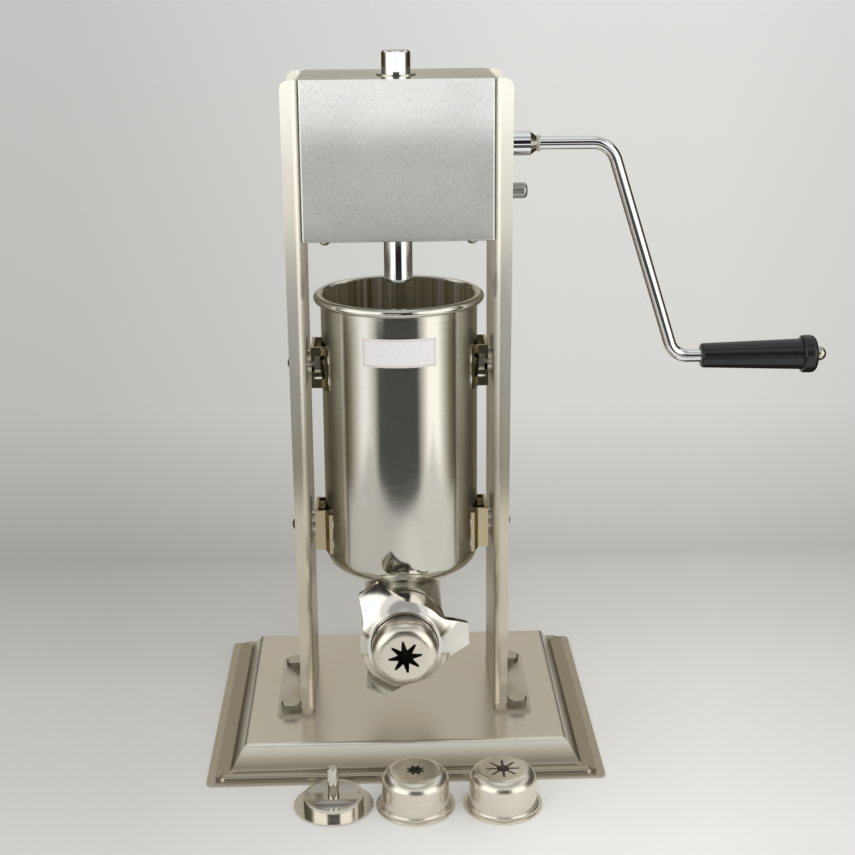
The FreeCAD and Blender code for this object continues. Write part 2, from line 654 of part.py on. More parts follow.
def make_housing():
    side = "web_in - housing_gap"
    front, back = "web_front_y", "web_back_y"
    cover_back = "web_front_y + housing_sheet"
    shell = box("HousingBlock", (f"-({side})", cover_back, "housing_low"), (side, back, "upright_top"))
    inside = box("HousingInside", ("-web_out", front, "housing_low + housing_sheet"),
                 ("web_out", f"{back} - housing_sheet", "upright_top - housing_sheet"))
    holes = cylinder("RodHoles", "bush_dia / 2", ("0", "axis_y", "barrel_rim"), THROUGH)
    node(minus("Housing", shell, inside, holes, *screw_holes()), "gear_housing")

    panel = new_body("CoverPanel")
    inner = f"{side} - housing_sheet"
    channel = [(f"-({side})", front), (side, front), (side, f"{front} + cover_return"),
               (inner, f"{front} + cover_return"), (inner, cover_back), (f"-({inner})", cover_back),
               (f"-({inner})", f"{front} + cover_return"), (f"-({side})", f"{front} + cover_return")]
    pad(panel, outline(panel, "XY_Plane", [channel], "cover_low"), "upright_top - cover_low")
    below = rectangle(cover_back, "cover_low", back, "housing_low + housing_sheet")
    above = rectangle(cover_back, "upright_top - housing_sheet", back, "rod_top")
    for loop in (below, above):
        pocket(panel, outline(panel, "YZ_Plane", [loop]), THROUGH).Midplane = True
    lip = rectangle(f"-({side})", front, side, f"{front} + cover_lip")
    pad(panel, outline(panel, "XY_Plane", [lip], "cover_low"), "housing_low - cover_low")
    edge_x = size.web_in - size.housing_gap

    def folded(edge):
        """The two long front edges and the bottom one."""
        spots = [vertex.Point for vertex in edge.Vertexes]
        upright = (all(abs(abs(spot.x) - edge_x) < 0.01 for spot in spots)
                   and abs(edge.tangentAt(edge.FirstParameter).z) > 0.9)
        lowest = all(abs(spot.z - size.cover_low) < 0.01 for spot in spots)
        return all(abs(spot.y - size.web_front_y) < 0.01 for spot in spots) and (upright or lowest)

    round_edges(panel, "cover_bend", folded)
    node(minus("Cover", panel, *screw_holes()), "front_cover")

    head = Part.makeCylinder(size.screw_head_dia / 2, size.screw_head)
    dome_radius = (size.screw_head_dia ** 2 / 4 + size.screw_head ** 2) / (2 * size.screw_head)
    dome = Part.makeSphere(dome_radius, Vector(0, 0, dome_radius))
    screw = head.common(dome).fuse(Part.makeCylinder(
        size.cover_screw_dia / 2, size.screw_length, Vector(0, 0, size.screw_head)))
    low = size.cover_low - size.screw_head
    back_y = size.web_front_y + size.cover_lip / 2
    solid_node("cover_screws", screw, [at(sign * size.cover_screw_x, back_y, low) for sign in (-1, 1)])


def screw_holes():
    spots = [(f"{side}cover_screw_x", "web_front_y + cover_lip / 2", "cover_low - screw_head")
             for side in ("-", "")]
    return [cylinder("ScrewHole", "cover_screw_dia / 2", spot, "screw_head + screw_length") for spot in spots]


def make_rod_bushes():
    bore = "rod_dia / 2 + rod_play"
    half, rim = "bush_dia / 2", "bush_flange_dia / 2"
    top = [(bore, "upright_top - bush_reach"), (half, "upright_top - bush_reach"), (half, "upright_top"),
           (rim, "upright_top"), (rim, "upright_top + bush_flange"), (bore, "upright_top + bush_flange")]
    low = [(bore, "housing_low - bush_flange"), (rim, "housing_low - bush_flange"), (rim, "housing_low"),
           (half, "housing_low"), (half, "housing_low + bush_reach"), (bore, "housing_low + bush_reach")]
    for label, corners in (("top_rod_bush", top), ("bottom_rod_bush", low)):
        body = lathe(label, "XZ_Plane", "V_Axis", corners)
        tie(body, "Placement.Base.y", "axis_y")
        node(body, label)


# ---------------------------------------------------------------- rack rod and gears

def rack_cutter():
    """Everything behind the rack's outline: straight-sided stub teeth along the rod."""
    pitch = math.pi * size.gear_module
    line = size.shaft_y - size.pitch_radius
    tip, root = line + size.tooth_add, line - size.tooth_ded
    slope = math.tan(PRESSURE_ANGLE)
    half_gap = pitch / 4 + size.tooth_slack / 2
    half_tip = half_gap + size.tooth_add * slope
    half_root = half_gap - size.tooth_ded * slope
    below = math.ceil((size.travel + size.rack_margin) / pitch)
    above = math.ceil(size.rack_margin / pitch)
    far = size.axis_y + size.rod_dia
    start = size.shaft_z - (below + 0.5) * pitch
    end = size.shaft_z + (above + 0.5) * pitch
    points = [Vector(0, far, start), Vector(0, tip, start)]
    for number in range(-below, above + 1):
        middle = size.shaft_z + number * pitch
        points += [Vector(0, tip, middle - half_tip), Vector(0, root, middle - half_root),
                   Vector(0, root, middle + half_root), Vector(0, tip, middle + half_tip)]
    points += [Vector(0, tip, end), Vector(0, far, end), Vector(0, far, start)]
    face = Part.Face(Part.makePolygon(points))
    face.translate(Vector(-size.rod_dia, 0, 0))
    return face.extrude(Vector(2 * size.rod_dia, 0, 0))


def make_rod():
    spigot = "spigot_dia / 2"
    radius = "rod_dia / 2"
    nut_low = "piston_low + recess_depth - piston_nut"
    shoulder = "rod_top - rod_chamfer"
    body = lathe("RodBlank", "XZ_Plane", "V_Axis",
                 [("0", nut_low), (spigot, nut_low), (spigot, "rod_low"), (radius, "rod_low"),
                  (radius, shoulder), (f"{radius} - rod_chamfer", "rod_top"), ("0", "rod_top")])
    tie(body, "Placement.Base.y", "axis_y")
    cutter = doc.addObject("Part::Feature", "RackCutter")
    cutter.Shape = rack_cutter()
    node(minus("RackRod", body, cutter), "rack_rod")


def gear_face(teeth, first_tooth):
    """A spur gear's outline in the YZ plane, stub involute teeth, first tooth at an angle from +Y."""
    pitch_radius = size.gear_module * teeth / 2
    base_radius = pitch_radius * math.cos(PRESSURE_ANGLE)
    tip, root = pitch_radius + size.tooth_add, pitch_radius - size.tooth_ded
    start = max(base_radius, root)
    involute = math.tan(PRESSURE_ANGLE) - PRESSURE_ANGLE

    def half_angle(radius):
        lean = math.acos(min(1, base_radius / radius))
        width = math.pi / 2 / teeth - size.tooth_slack / 4 / pitch_radius
        return width + involute - (math.tan(lean) - lean)

    def spot(radius, turn):
        return Vector(0, radius * math.cos(turn), radius * math.sin(turn))

    edges = []
    step = 2 * math.pi / teeth
    for number in range(int(teeth)):
        middle = math.radians(first_tooth) + number * step
        rise = [spot(radius, middle - half_angle(radius)) for radius in (start, (start + tip) / 2, tip)]
        fall = [spot(radius, middle + half_angle(radius)) for radius in (tip, (start + tip) / 2, start)]
        foot_in = spot(root, middle - half_angle(start))
        foot_out = spot(root, middle + half_angle(start))
        next_in = spot(root, middle + step - half_angle(start))
        if start > root + 0.001:
            edges.append(Part.LineSegment(foot_in, rise[0]).toShape())
        edges.append(Part.Arc(*rise).toShape())
        edges.append(Part.Arc(rise[2], spot(tip, middle), fall[0]).toShape())
        edges.append(Part.Arc(*fall).toShape())
        if start > root + 0.001:
            edges.append(Part.LineSegment(fall[2], foot_out).toShape())
        edges.append(Part.Arc(foot_out, spot(root, middle + step / 2), next_in).toShape())
    return Part.Face(Part.Wire(edges))


def pin_hole(across, pin_x):
    """A drill through a shaft or hub, at a place along it."""
    return Part.makeCylinder(across / 2, 2 * PAST, Vector(pin_x, 0, -PAST))


def make_gear(label, teeth, first_tooth, start, width, height, hub_dia, hub_length):
    """A gear with its hub, bored for the shaft and cross-drilled for its pin."""
    blank = gear_face(teeth, first_tooth).extrude(Vector(width, 0, 0))
    length = width + hub_length
    if hub_length:
        hub = Part.makeCylinder(hub_dia / 2, hub_length, Vector(width, 0, 0), Vector(1, 0, 0))
        blank = blank.fuse(hub)
        pin_x = width + hub_length / 2
    else:
        pin_x = width / 2
    blank = blank.cut(Part.makeCylinder(size.shaft_dia / 2, length, Vector(), Vector(1, 0, 0)))
    solid_node(label, blank.cut(pin_hole(size.pin_dia, pin_x)), [at(start, size.shaft_y, height)])
    return start + pin_x


def drive_shaft(label, height, pins):
    """A shaft with a drive end past its shoulder, two ring grooves and its cross drillings."""
    axis = Vector(1, 0, 0)
    radius, stub = size.shaft_dia / 2, size.stub_dia / 2
    left = -size.shaft_left
    journal = Part.makeCylinder(radius, size.stub_start - left, Vector(left, 0, 0), axis)
    drive = Part.makeCylinder(stub, size.stub_end - size.stub_start, Vector(size.stub_start, 0, 0), axis)
    tip = [edge for edge in drive.Edges if edge.BoundBox.XMin > size.stub_end - 0.01]
    shape = journal.fuse(drive.makeFillet(size.stub_round, tip)).removeSplitter()
    for ring_x in RING_PLACES:
        groove = ring(radius + 1, radius - size.groove_depth, size.ring_thick)
        groove.Placement = at(ring_x, 0, 0, "X")
        shape = shape.cut(groove)
    for pin_x in pins:
        shape = shape.cut(pin_hole(size.pin_dia, pin_x))
    shape = shape.cut(pin_hole(size.drive_pin_dia, size.drive_pin_x))
    solid_node(label, shape, [at(0, size.shaft_y, height)])


BUSH_OUT = size.web_out + size.shaft_bush_flange
RING_PLACES = (-BUSH_OUT - size.ring_gap - size.ring_thick, BUSH_OUT + size.ring_gap)


def pin_group(label, height, pins):
    """The cross pins of one shaft: each one's diameter, length and place along the shaft."""
    item = doc.addObject("Part::Feature", "Pins")
    copies = []
    for across, length, pin_x in pins:
        pin = Part.makeCylinder(across / 2, length, Vector(0, 0, -length / 2))
        pin.Placement = at(pin_x, size.shaft_y, height).multiply(pin.Placement)
        copies.append(pin)
    item.Shape = Part.makeCompound(copies)
    node(item, label)


def make_gear_train():
    pinion = make_gear("rack_pinion", size.pinion_teeth, 180, -size.pinion_width / 2, size.pinion_width,
                       size.shaft_z, 0, 0)
    main = make_gear("main_gear", size.main_teeth, -90, size.gear_offset, size.main_gear_width,
                     size.shaft_z, size.hub_dia, size.hub_length)
    half_step = 180 / size.slow_teeth
    slow_start = size.gear_offset - (size.slow_gear_width - size.main_gear_width) / 2
    slow = make_gear("slow_gear", size.slow_teeth, 90 + half_step, slow_start, size.slow_gear_width,
                     size.slow_z, size.slow_hub_dia, size.hub_length)
    drive_shaft("main_shaft", size.shaft_z, [pinion, main])
    drive_shaft("slow_shaft", size.slow_z, [slow])

    pinion_root = 2 * (size.pitch_radius - size.tooth_ded)
    drive = (size.drive_pin_dia, size.drive_pin_length, size.drive_pin_x)
    pin_group("main_shaft_pins", size.shaft_z, [(size.pin_dia, pinion_root, pinion),
                                                (size.pin_dia, size.hub_dia, main), drive])
    pin_group("slow_shaft_pin", size.slow_z, [(size.pin_dia, size.slow_hub_dia, slow), drive])

    clip = ring(size.ring_dia / 2, size.shaft_dia / 2 - size.groove_depth, size.ring_thick)
    mouth = size.ring_mouth
    clip = clip.cut(Part.makeBox(size.ring_dia, mouth, size.ring_thick, Vector(0, -mouth / 2, 0)))
    for label, height in (("main_shaft_rings", size.shaft_z), ("slow_shaft_rings", size.slow_z)):
        solid_node(label, clip, [at(ring_x, size.shaft_y, height, "X") for ring_x in RING_PLACES])


def make_shaft_bushes():
    bore = size.shaft_dia / 2 + size.shaft_play
    sleeve = size.web_sheet + size.shaft_bush_inside
    bush = ring(size.shaft_bush_dia / 2, bore, sleeve + size.shaft_bush_flange)
    flange = ring(size.shaft_bush_flange_dia / 2, bore, size.shaft_bush_flange)
    flange.translate(Vector(0, 0, sleeve))
    bush = bush.fuse(flange).removeSplitter()
    start = size.web_in - size.shaft_bush_inside
    spots = [at(side * start, size.shaft_y, height, along) for height in (size.shaft_z, size.slow_z)
             for side, along in ((1, "X"), (-1, "-X"))]
    solid_node("shaft_bushes", bush, spots)


# ---------------------------------------------------------------- crank

def bend_path(points, radii):
    """A wire through points with an arc at each inner one."""
    edges = []
    start = points[0]
    for before, corner, after, radius in zip(points, points[1:], points[2:], radii):
        arriving = (before - corner).normalize()
        leaving = (after - corner).normalize()
        half = arriving.getAngle(leaving) / 2
        reach = radius / math.tan(half)
        first, last = corner + arriving * reach, corner + leaving * reach
        inward = (arriving + leaving).normalize()
        middle = corner + inward * (radius / math.sin(half) - radius)
        edges.append(Part.LineSegment(start, first).toShape())
        edges.append(Part.Arc(first, middle, last).toShape())
        start = last
    edges.append(Part.LineSegment(start, points[-1]).toShape())
    return Part.Wire(edges)


def make_crank():
    axis = Vector(1, 0, 0)
    radius = size.crank_dia / 2
    hub_start = size.crank_start
    hub_end = hub_start + size.socket_length
    grip_z = -size.crank_drop
    shoulder = size.grip_start - size.grip_end_play
    corners = [Vector(hub_end + size.crank_taper, 0, 0), Vector(hub_start + size.crank_high, 0, 0),
               Vector(hub_start + size.crank_low, 0, grip_z), Vector(shoulder, 0, grip_z)]
    path = bend_path(corners, [size.crank_bend_high, size.crank_bend_low])
    circle = Part.Wire(Part.makeCircle(radius, corners[0], axis))
    arm = path.makePipeShell([circle], True, False)
    hub = Part.makeCylinder(size.crank_hub_dia / 2, size.socket_length, Vector(hub_start, 0, 0), axis)
    taper = Part.makeCone(size.crank_hub_dia / 2, radius, size.crank_taper, Vector(hub_end, 0, 0), axis)
    cap_seat = size.grip_start + size.grip_length + size.grip_end_play
    spindle_end = cap_seat + size.cap_bore
    spindle = Part.makeCylinder(size.spindle_dia / 2, spindle_end - corners[2].x,
                                Vector(corners[2].x + size.crank_bend_low, 0, grip_z), axis)
    spindle = spindle.common(Part.makeCylinder(size.spindle_dia, spindle_end, Vector(0, 0, grip_z), axis))
    spindle_thread = ring(size.spindle_dia, size.cap_thread / 2, size.cap_length)
    spindle_thread.Placement = at(cap_seat, 0, grip_z, "X")
    shape = arm.fuse([hub, taper, spindle.cut(spindle_thread)]).removeSplitter()

    play = size.socket_play
    depth = size.stub_end + size.socket_depth_gap - hub_start
    socket = Part.makeCylinder(size.stub_dia / 2 + play, depth, Vector(hub_start, 0, 0), axis)
    mouth_end = size.stub_start + size.socket_depth_gap
    mouth = Part.makeCylinder(size.shaft_dia / 2 + play, mouth_end - hub_start, Vector(hub_start, 0, 0), axis)
    half_notch = size.drive_pin_dia / 2 + size.drive_pin_gap
    notch = Part.makeCylinder(half_notch, 2 * PAST, Vector(size.drive_pin_x, 0, -PAST))
    notch = notch.fuse(Part.makeBox(size.drive_pin_x - hub_start, 2 * half_notch, 2 * PAST,
                                    Vector(hub_start, -half_notch, -PAST)))
    shape = shape.cut([socket, mouth, notch])
    solid_node("crank_arm", shape, [at(0, size.shaft_y, size.shaft_z)])
    make_grip()
    dome_base = size.cap_length - size.cap_dia / 2
    blank = Part.makeCylinder(size.cap_dia / 2, size.cap_length)
    dome = Part.makeSphere(size.cap_dia / 2, Vector(0, 0, dome_base))
    cap = blank.common(dome).fuse(Part.makeCylinder(size.cap_dia / 2, dome_base))
    cap = cap.cut(Part.makeCylinder(size.cap_thread / 2, size.cap_bore)).removeSplitter()
    solid_node("grip_cap_nut", cap, [at(cap_seat, size.shaft_y, size.shaft_z - size.crank_drop, "X")])


def make_grip():
    """The turned handle: a slow taper that swells into a rounded bead at the end."""
    bore = "spindle_dia / 2 + grip_play"
    end = "grip_start + grip_length"
    neck = f"{end} - grip_bead"
    small, large, bead = "grip_dia_small / 2", "grip_dia_large / 2", "grip_bead_dia / 2"
    body = lathe("Grip", "XZ_Plane", "H_Axis",
                 [("grip_start", bore), ("grip_start", small), (neck, large), (neck, bead), (end, bead),
                  (end, bore)])
    tip = size.grip_start + size.grip_length
    for radius, spot, across in (
            ("grip_end_round", tip, size.grip_bead_dia),
            ("grip_edge_round", tip - size.grip_bead, size.grip_bead_dia),
            ("grip_edge_round", size.grip_start, size.grip_dia_small)):
        round_edges(body, radius, lambda edge: isinstance(edge.Curve, Part.Circle)
                    and abs(edge.Curve.Radius - across / 2) < 0.01
                    and abs(edge.Vertexes[0].Point.x - spot) < 0.01)
    tie(body, "Placement.Base.y", "shaft_y")
    tie(body, "Placement.Base.z", "shaft_z - crank_drop")
    node(body, "crank_grip")


# ---------------------------------------------------------------- barrel and piston

def make_barrel():
    outside, inside = "barrel_dia / 2", "barrel_dia / 2 - barrel_wall"
    rim_line = "barrel_rim - rim_radius"
    apex = f"barrel_corner - {outside} * tan({SLOPE})"
    inner_lift = f"barrel_wall / cos({SLOPE})"
    shell = lathe("BarrelOutside", "XZ_Plane", "V_Axis",
                  [("0", apex), (outside, "barrel_corner"), (outside, f"{rim_line} + rim_radius / 2"),
                   ("0", f"{rim_line} + rim_radius / 2")])
    half = size.barrel_dia / 2
    round_edges(shell, "corner_round", level_circle(half, size.barrel_corner))
    inner_corner = f"barrel_corner - barrel_wall * tan({SLOPE}) + {inner_lift}"
    core = lathe("BarrelInside", "XZ_Plane", "V_Axis",
                 [("0", f"{apex} + {inner_lift}"), (inside, inner_corner), (inside, "barrel_rim + rim_radius"),
                  ("0", "barrel_rim + rim_radius")])
    slope = math.radians(size.cone_slope)
    corner_in = size.barrel_corner - size.barrel_wall * math.tan(slope) + size.barrel_wall / math.cos(slope)
    round_edges(core, "corner_round - barrel_wall", level_circle(half - size.barrel_wall, corner_in))
    for body in (shell, core):
        tie(body, "Placement.Base.y", "axis_y")
    end, end_inside = "axis_y + spout_back", "axis_y + spout_back - barrel_wall"
    tube = cylinder("SpoutTube", "spout_dia / 2", ("0", end, "spout_z"), "spout_back + collar_back", "-Y")
    bore = cylinder("SpoutBore", "spout_dia / 2 - barrel_wall", ("0", end_inside, "spout_z"),
                    "spout_back + 2 * collar_back", "-Y")
    bead = lathe("RimBead", "XZ_Plane", "V_Axis",
                 ("circle", f"{inside} + rim_radius + rim_step", rim_line, "rim_radius"))
    tie(bead, "Placement.Base.y", "axis_y")
    node(minus("Barrel", union("BarrelBlank", shell, tube, bead), core, bore), "barrel")

    back, lip = "axis_y - collar_back", "axis_y - collar_back - collar_lip"
    front, hole = "axis_y - spout_front", "spout_bore / 2"
    collar = lathe("Collar", "YZ_Plane", "H_Axis",
                   [(back, hole), (back, "collar_dia / 2"), (lip, "collar_dia / 2"), (lip, "thread_dia / 2"),
                    (front, "thread_dia / 2"), (front, hole)])
    tie(collar, "Placement.Base.z", "spout_z")
    node(collar, "spout_collar")


def make_piston():
    disc, groove = "piston_dia / 2", "barrel_dia / 2 - barrel_wall - seal_play - seal_depth"
    middle = "(piston_low + rod_low) / 2"
    low, high = f"{middle} - seal_height / 2", f"{middle} + seal_height / 2"
    shelf = "piston_low + recess_depth"
    body = lathe("Piston", "XZ_Plane", "V_Axis",
                 [("spigot_dia / 2", shelf), ("recess_dia / 2", shelf), ("recess_dia / 2", "piston_low"),
                  (f"{disc} - piston_edge", "piston_low"), (disc, "piston_low + piston_edge"), (disc, low),
                  (groove, low), (groove, high), (disc, high), (disc, "rod_low - piston_edge"),
                  (f"{disc} - piston_edge", "rod_low"),
                  ("spigot_dia / 2", "rod_low")])
    edge = "barrel_dia / 2 - barrel_wall - seal_play"
    seal = lathe("Seal", "XZ_Plane", "V_Axis",
                 [(groove, low), (f"{edge} - seal_edge", low), (edge, f"{low} + seal_edge"),
                  (edge, f"{high} - seal_edge"), (f"{edge} - seal_edge", high), (groove, high)])
    for item, label in ((body, "piston_disc"), (seal, "piston_seal")):
        tie(item, "Placement.Base.y", "axis_y")
        node(item, label)
    nut = hexagon(size.piston_nut_flats, size.piston_nut)
    nut = nut.cut(Part.makeCylinder(size.spigot_dia / 2, size.piston_nut))
    low_z = size.piston_low + size.recess_depth - size.piston_nut
    solid_node("piston_nut", nut, [at(0, size.axis_y, low_z)])


# ---------------------------------------------------------------- barrel brackets

def make_bracket(label, sign, height, slotted):
    """A hat-shaped sheet bracket welded to the barrel; the upper pair is slotted from the front."""
    low, high = f"{height} - bracket_height / 2", f"{height} + bracket_height / 2"
    half = "bracket_width / 2"
    inner = "bracket_face - bracket_sheet"

    def slab(name, x_low, x_high, back_low, back_high, z_low, z_high):
        ends = (x_low, x_high) if sign > 0 else (f"-({x_high})", f"-({x_low})")
        return box(name, (ends[0], f"axis_y + {back_low}", z_low), (ends[1], f"axis_y + {back_high}", z_high))

    start = "barrel_dia / 4"
    hat = slab("Hat", start, "bracket_face", f"(-{half})", half, low, high)
    hollow = slab("HatHollow", "0", inner, f"(-{half} + bracket_sheet)", f"{half} - bracket_sheet",
                  "0", THROUGH)
    wings = slab("Wings", start, "bracket_face", "(-bracket_wing)", "bracket_wing", low, high)
    skin = cylinder("WingSkin", "barrel_dia / 2 + bracket_sheet", ("0", "axis_y", low), "bracket_height")
    wings = overlap("WingPlates", wings, skin)
    barrel_space = cylinder("BarrelSpace", "barrel_dia / 2", ("0", "axis_y", "0"), THROUGH)
    along = "X" if sign > 0 else "-X"
    hole = cylinder("BracketHole", "bolt_dia / 2 + bolt_gap", ("0", "axis_y", height), "web_gap", along)
    tools = [hollow, barrel_space, hole]
    if slotted:
        tools.append(slab("Window", start, inner, f"(-{half} - 1)", f"(-{half} + bracket_sheet + 1)",
                          f"{height} - window_height / 2", f"{height} + window_height / 2"))
        tools.append(slab("Slot", f"{inner} - 1", "bracket_face + 1", f"(-{half} - 1)", "0",
                          f"{height} - slot_height / 2", f"{height} + slot_height / 2"))
    node(minus("Bracket", union("BracketBlank", hat, wings), *tools), label)


def make_brackets():
    for side, sign in (("left", -1), ("right", 1)):
        make_bracket(f"{side}_upper_bracket", sign, "upper_hole_z", True)
        make_bracket(f"{side}_lower_bracket", sign, "lower_hole_z", False)
    face, plate = size.bracket_face, size.bracket_sheet
    radius = size.bolt_dia / 2
    length = size.web_out + size.cap_nut_thread - (face - plate)
    head = hexagon(size.hex_flats, size.clamp_head)
    head.rotate(Vector(), Vector(1, 0, 0), 180)
    bolt = head.fuse(Part.makeCylinder(radius, length)).removeSplitter()
    spacer = ring(size.spacer_dia / 2, radius + size.washer_play, size.spacer_length)
    dome_radius = size.cap_dome_dia / 2
    dome_base = size.cap_nut_length - dome_radius
    dome = Part.makeSphere(dome_radius, Vector(0, 0, dome_base))
    dome = dome.common(Part.makeCylinder(dome_radius, size.cap_nut_length))
    cap = hexagon(size.hex_flats, dome_base).fuse(dome).removeSplitter()
    cap = cap.cut(Part.makeCylinder(radius, size.cap_nut_thread))

    def spots(start):
        return [at(sign * start, size.axis_y, height, along) for sign, along in ((-1, "-X"), (1, "X"))
                for height in (size.upper_hole_z, size.lower_hole_z)]

    solid_node("barrel_bolts", bolt, spots(face - plate))
    solid_node("barrel_spacers", spacer, spots(face))
    solid_node("barrel_cap_nuts", cap, spots(size.web_out))


# ---------------------------------------------------------------- nozzles

def nozzle_cup():
    """The pressed cup that all nozzles share, flange down, mouth at the bottom."""
    outer, inner = "nozzle_dia / 2", "nozzle_dia / 2 - nozzle_wall"
    body = lathe("NozzleCup", "XZ_Plane", "V_Axis",
                 [(inner, "0"), ("nozzle_flange_dia / 2", "0"), ("nozzle_flange_dia / 2", "nozzle_flange"),
                  (outer, "nozzle_flange"), (outer, "nozzle_height"), ("0", "nozzle_height"),
                  ("0", "nozzle_height - nozzle_wall"), (inner, "nozzle_height - nozzle_wall")])
    round_edges(body, "nozzle_round", level_circle(size.nozzle_dia / 2, size.nozzle_height))
    round_edges(body, "nozzle_foot", level_circle(size.nozzle_dia / 2, size.nozzle_flange))
    round_edges(body, "nozzle_round - nozzle_wall",
                level_circle(size.nozzle_dia / 2 - size.nozzle_wall, size.nozzle_height - size.nozzle_wall))
    return shape_of(body)


def star(tip, root, turn):
    """A star-shaped cutter through a nozzle's face, its points cut off blunt."""
    count = int(size.star_points)
    step = math.pi / count
    points = []
    for number in range(count):
        angle = math.radians(turn) + 2 * step * number
        for radius, lean in ((tip, -size.star_end / 2 / tip), (tip, size.star_end / 2 / tip), (root, step)):
            points.append(Vector(radius * math.cos(angle + lean), radius * math.sin(angle + lean), 0))
    face = Part.Face(Part.makePolygon(points + points[:1]))
    face.translate(Vector(0, 0, size.nozzle_height / 2))
    return face.extrude(Vector(0, 0, size.nozzle_height))


def slit_star():
    """A round hole with narrow slits running out from it."""
    low = size.nozzle_height / 2
    tool = Part.makeCylinder(size.slit_hole_dia / 2, size.nozzle_height, Vector(0, 0, low))
    slits = []
    count = int(size.star_points)
    for number in range(count):
        slit = Part.makeBox(size.slit_tip, size.slit_width, size.nozzle_height,
                            Vector(0, -size.slit_width / 2, low))
        slit.rotate(Vector(), Vector(0, 0, 1), 360 * number / count)
        slits.append(slit)
    return tool.fuse(slits)


def make_nozzles():
    cup = nozzle_cup()
    seat = size.axis_y - size.spout_front - size.seal_thick
    fixed = cup.cut(star(size.star_tip, size.star_root, size.star_turn))
    solid_node("star_nozzle", fixed, [at(0, seat, size.spout_z, "-Y")])
    washer = ring(size.nozzle_flange_dia / 2, size.spout_bore / 2, size.seal_thick)
    solid_node("nozzle_seal", washer, [at(0, seat + size.seal_thick, size.spout_z, "-Y")])
    small = cup.cut(star(size.small_star_tip, size.small_star_root, size.star_lean))
    solid_node("small_star_nozzle", small, [at(size.small_x, size.axis_y - size.small_y, 0)])
    solid_node("slit_star_nozzle", cup.cut(slit_star()), [at(size.slit_x, size.axis_y - size.slit_y, 0)])


def make_insert():
    """The seat for a filling tube: a flanged ring with a bridge that carries a pin."""
    spot = Placement(Vector(-size.insert_x, size.axis_y - size.insert_y, 0), Rotation())
    outer, wall = size.insert_ring_dia / 2, size.insert_wall
    flange = ring(size.nozzle_flange_dia / 2, outer - wall, size.nozzle_flange)
    wall_ring = ring(outer, outer - wall, size.insert_ring)
    bar_low = size.insert_ring - size.bridge_drop
    bar = Part.makeBox(2 * outer - wall, size.insert_bridge, size.bridge_thick,
                       Vector(-outer + wall / 2, -size.insert_bridge / 2, bar_low))
    pin_radius = size.insert_pin_dia / 2
    hole = Part.makeCylinder(pin_radius, size.insert_ring)
    solid_node("tube_insert", flange.fuse([wall_ring, bar]).cut(hole).removeSplitter(), [spot])
    pin = Part.makeCylinder(pin_radius, size.insert_pin_top - bar_low, Vector(0, 0, bar_low))
    tip = [edge for edge in pin.Edges if edge.BoundBox.ZMin > size.insert_pin_top - 0.01]
    solid_node("tube_insert_pin", pin.makeChamfer(size.insert_pin_edge, tip), [spot])


def arc_edge(start, middle, end):
    return Part.Arc(start, middle, end).toShape()


def bowed(start, end, hollow):
    """An arc between two spots of the XZ plane that sags towards the axis and the rear."""
    chord = end - start
    sag = Vector(chord.z, 0, -chord.x).normalize() * hollow
    return arc_edge(start, (start + end) * 0.5 + sag, end)


def make_wing_nut():
    """A threaded sleeve with a dished three-winged plate and a flat ring round its mouth."""
    half = size.wing_tip_width / 2
    sleeve = size.nut_hub_dia / 2
    waist = sleeve + size.nut_waist
    length = size.nut_front - size.nut_back

    def turned(across, aside, turn):
        spot = Vector(across, aside, 0)
        return Rotation(Vector(0, 0, 1), turn).multVec(spot)

    def wing(turn):
        root = half + size.wing_flare
        corners = [turned(0, -root, turn), turned(size.wing_tip, -half, turn),
                   turned(size.wing_tip, half, turn), turned(0, root, turn)]
        return Part.Face(Part.makePolygon(corners + corners[:1])).extrude(Vector(0, 0, length))

    def upright_edges(shape, away):
        """The edges along the nut's axis that stand so far away from it."""
        found = []
        for edge in shape.Edges:
            low, high = edge.Vertexes[0].Point, edge.Vertexes[-1].Point
            if abs(high.z - low.z) > 1 and abs(math.hypot(low.x, low.y) - away) < 0.01:
                found.append(edge)
        return found

    wings = [wing(size.wing_turn + number * 120) for number in range(3)]
    prism = Part.makeCylinder(waist, length).fuse(wings).removeSplitter()
    far = math.hypot(size.wing_tip, half)
    prism = prism.makeFillet(size.wing_hollow, upright_edges(prism, waist))
    prism = prism.makeFillet(size.wing_round, upright_edges(prism, far))

    ring_edge, flat = size.nut_ring_edge, size.nut_ring_dia / 2
    tip_front = size.wing_tip_back - size.nut_back
    low, high = Vector(sleeve, 0, length - size.nut_plate), Vector(flat, 0, length - ring_edge)
    rear_tip, front_tip = Vector(far, 0, tip_front - size.wing_thick), Vector(far, 0, tip_front)
    top = Vector(0, 0, length)
    inner = Part.makePolygon([high, Vector(flat - ring_edge, 0, length), top, Vector(), Vector(sleeve, 0, 0), low])
    rim = Part.makePolygon([rear_tip, front_tip])
    dishes = [bowed(low, rear_tip, size.wing_dish), bowed(high, front_tip, size.wing_dish)]
    profile = Part.Wire(Part.__sortEdges__(inner.Edges + rim.Edges + dishes))
    envelope = Part.Face(profile).revolve(Vector(), Vector(0, 0, 1), 360)
    blank = prism.fuse(Part.makeCylinder(sleeve, length))
    nut = blank.common(envelope)
    lip_floor = size.spout_front + size.seal_thick + size.nozzle_flange + size.nut_play - size.nut_back
    nut = nut.cut(Part.makeCylinder(size.nut_bore_dia / 2, lip_floor))
    mouth, ease = size.nut_mouth_dia / 2, size.nozzle_foot
    cone = Part.makeCone(mouth + ease, mouth, ease, Vector(0, 0, lip_floor))
    nut = nut.cut([cone, Part.makeCylinder(mouth, length)]).removeSplitter()
    solid_node("wing_nut", nut, [at(0, size.axis_y - size.nut_back, size.spout_z, "-Y")])


# ---------------------------------------------------------------- build and write

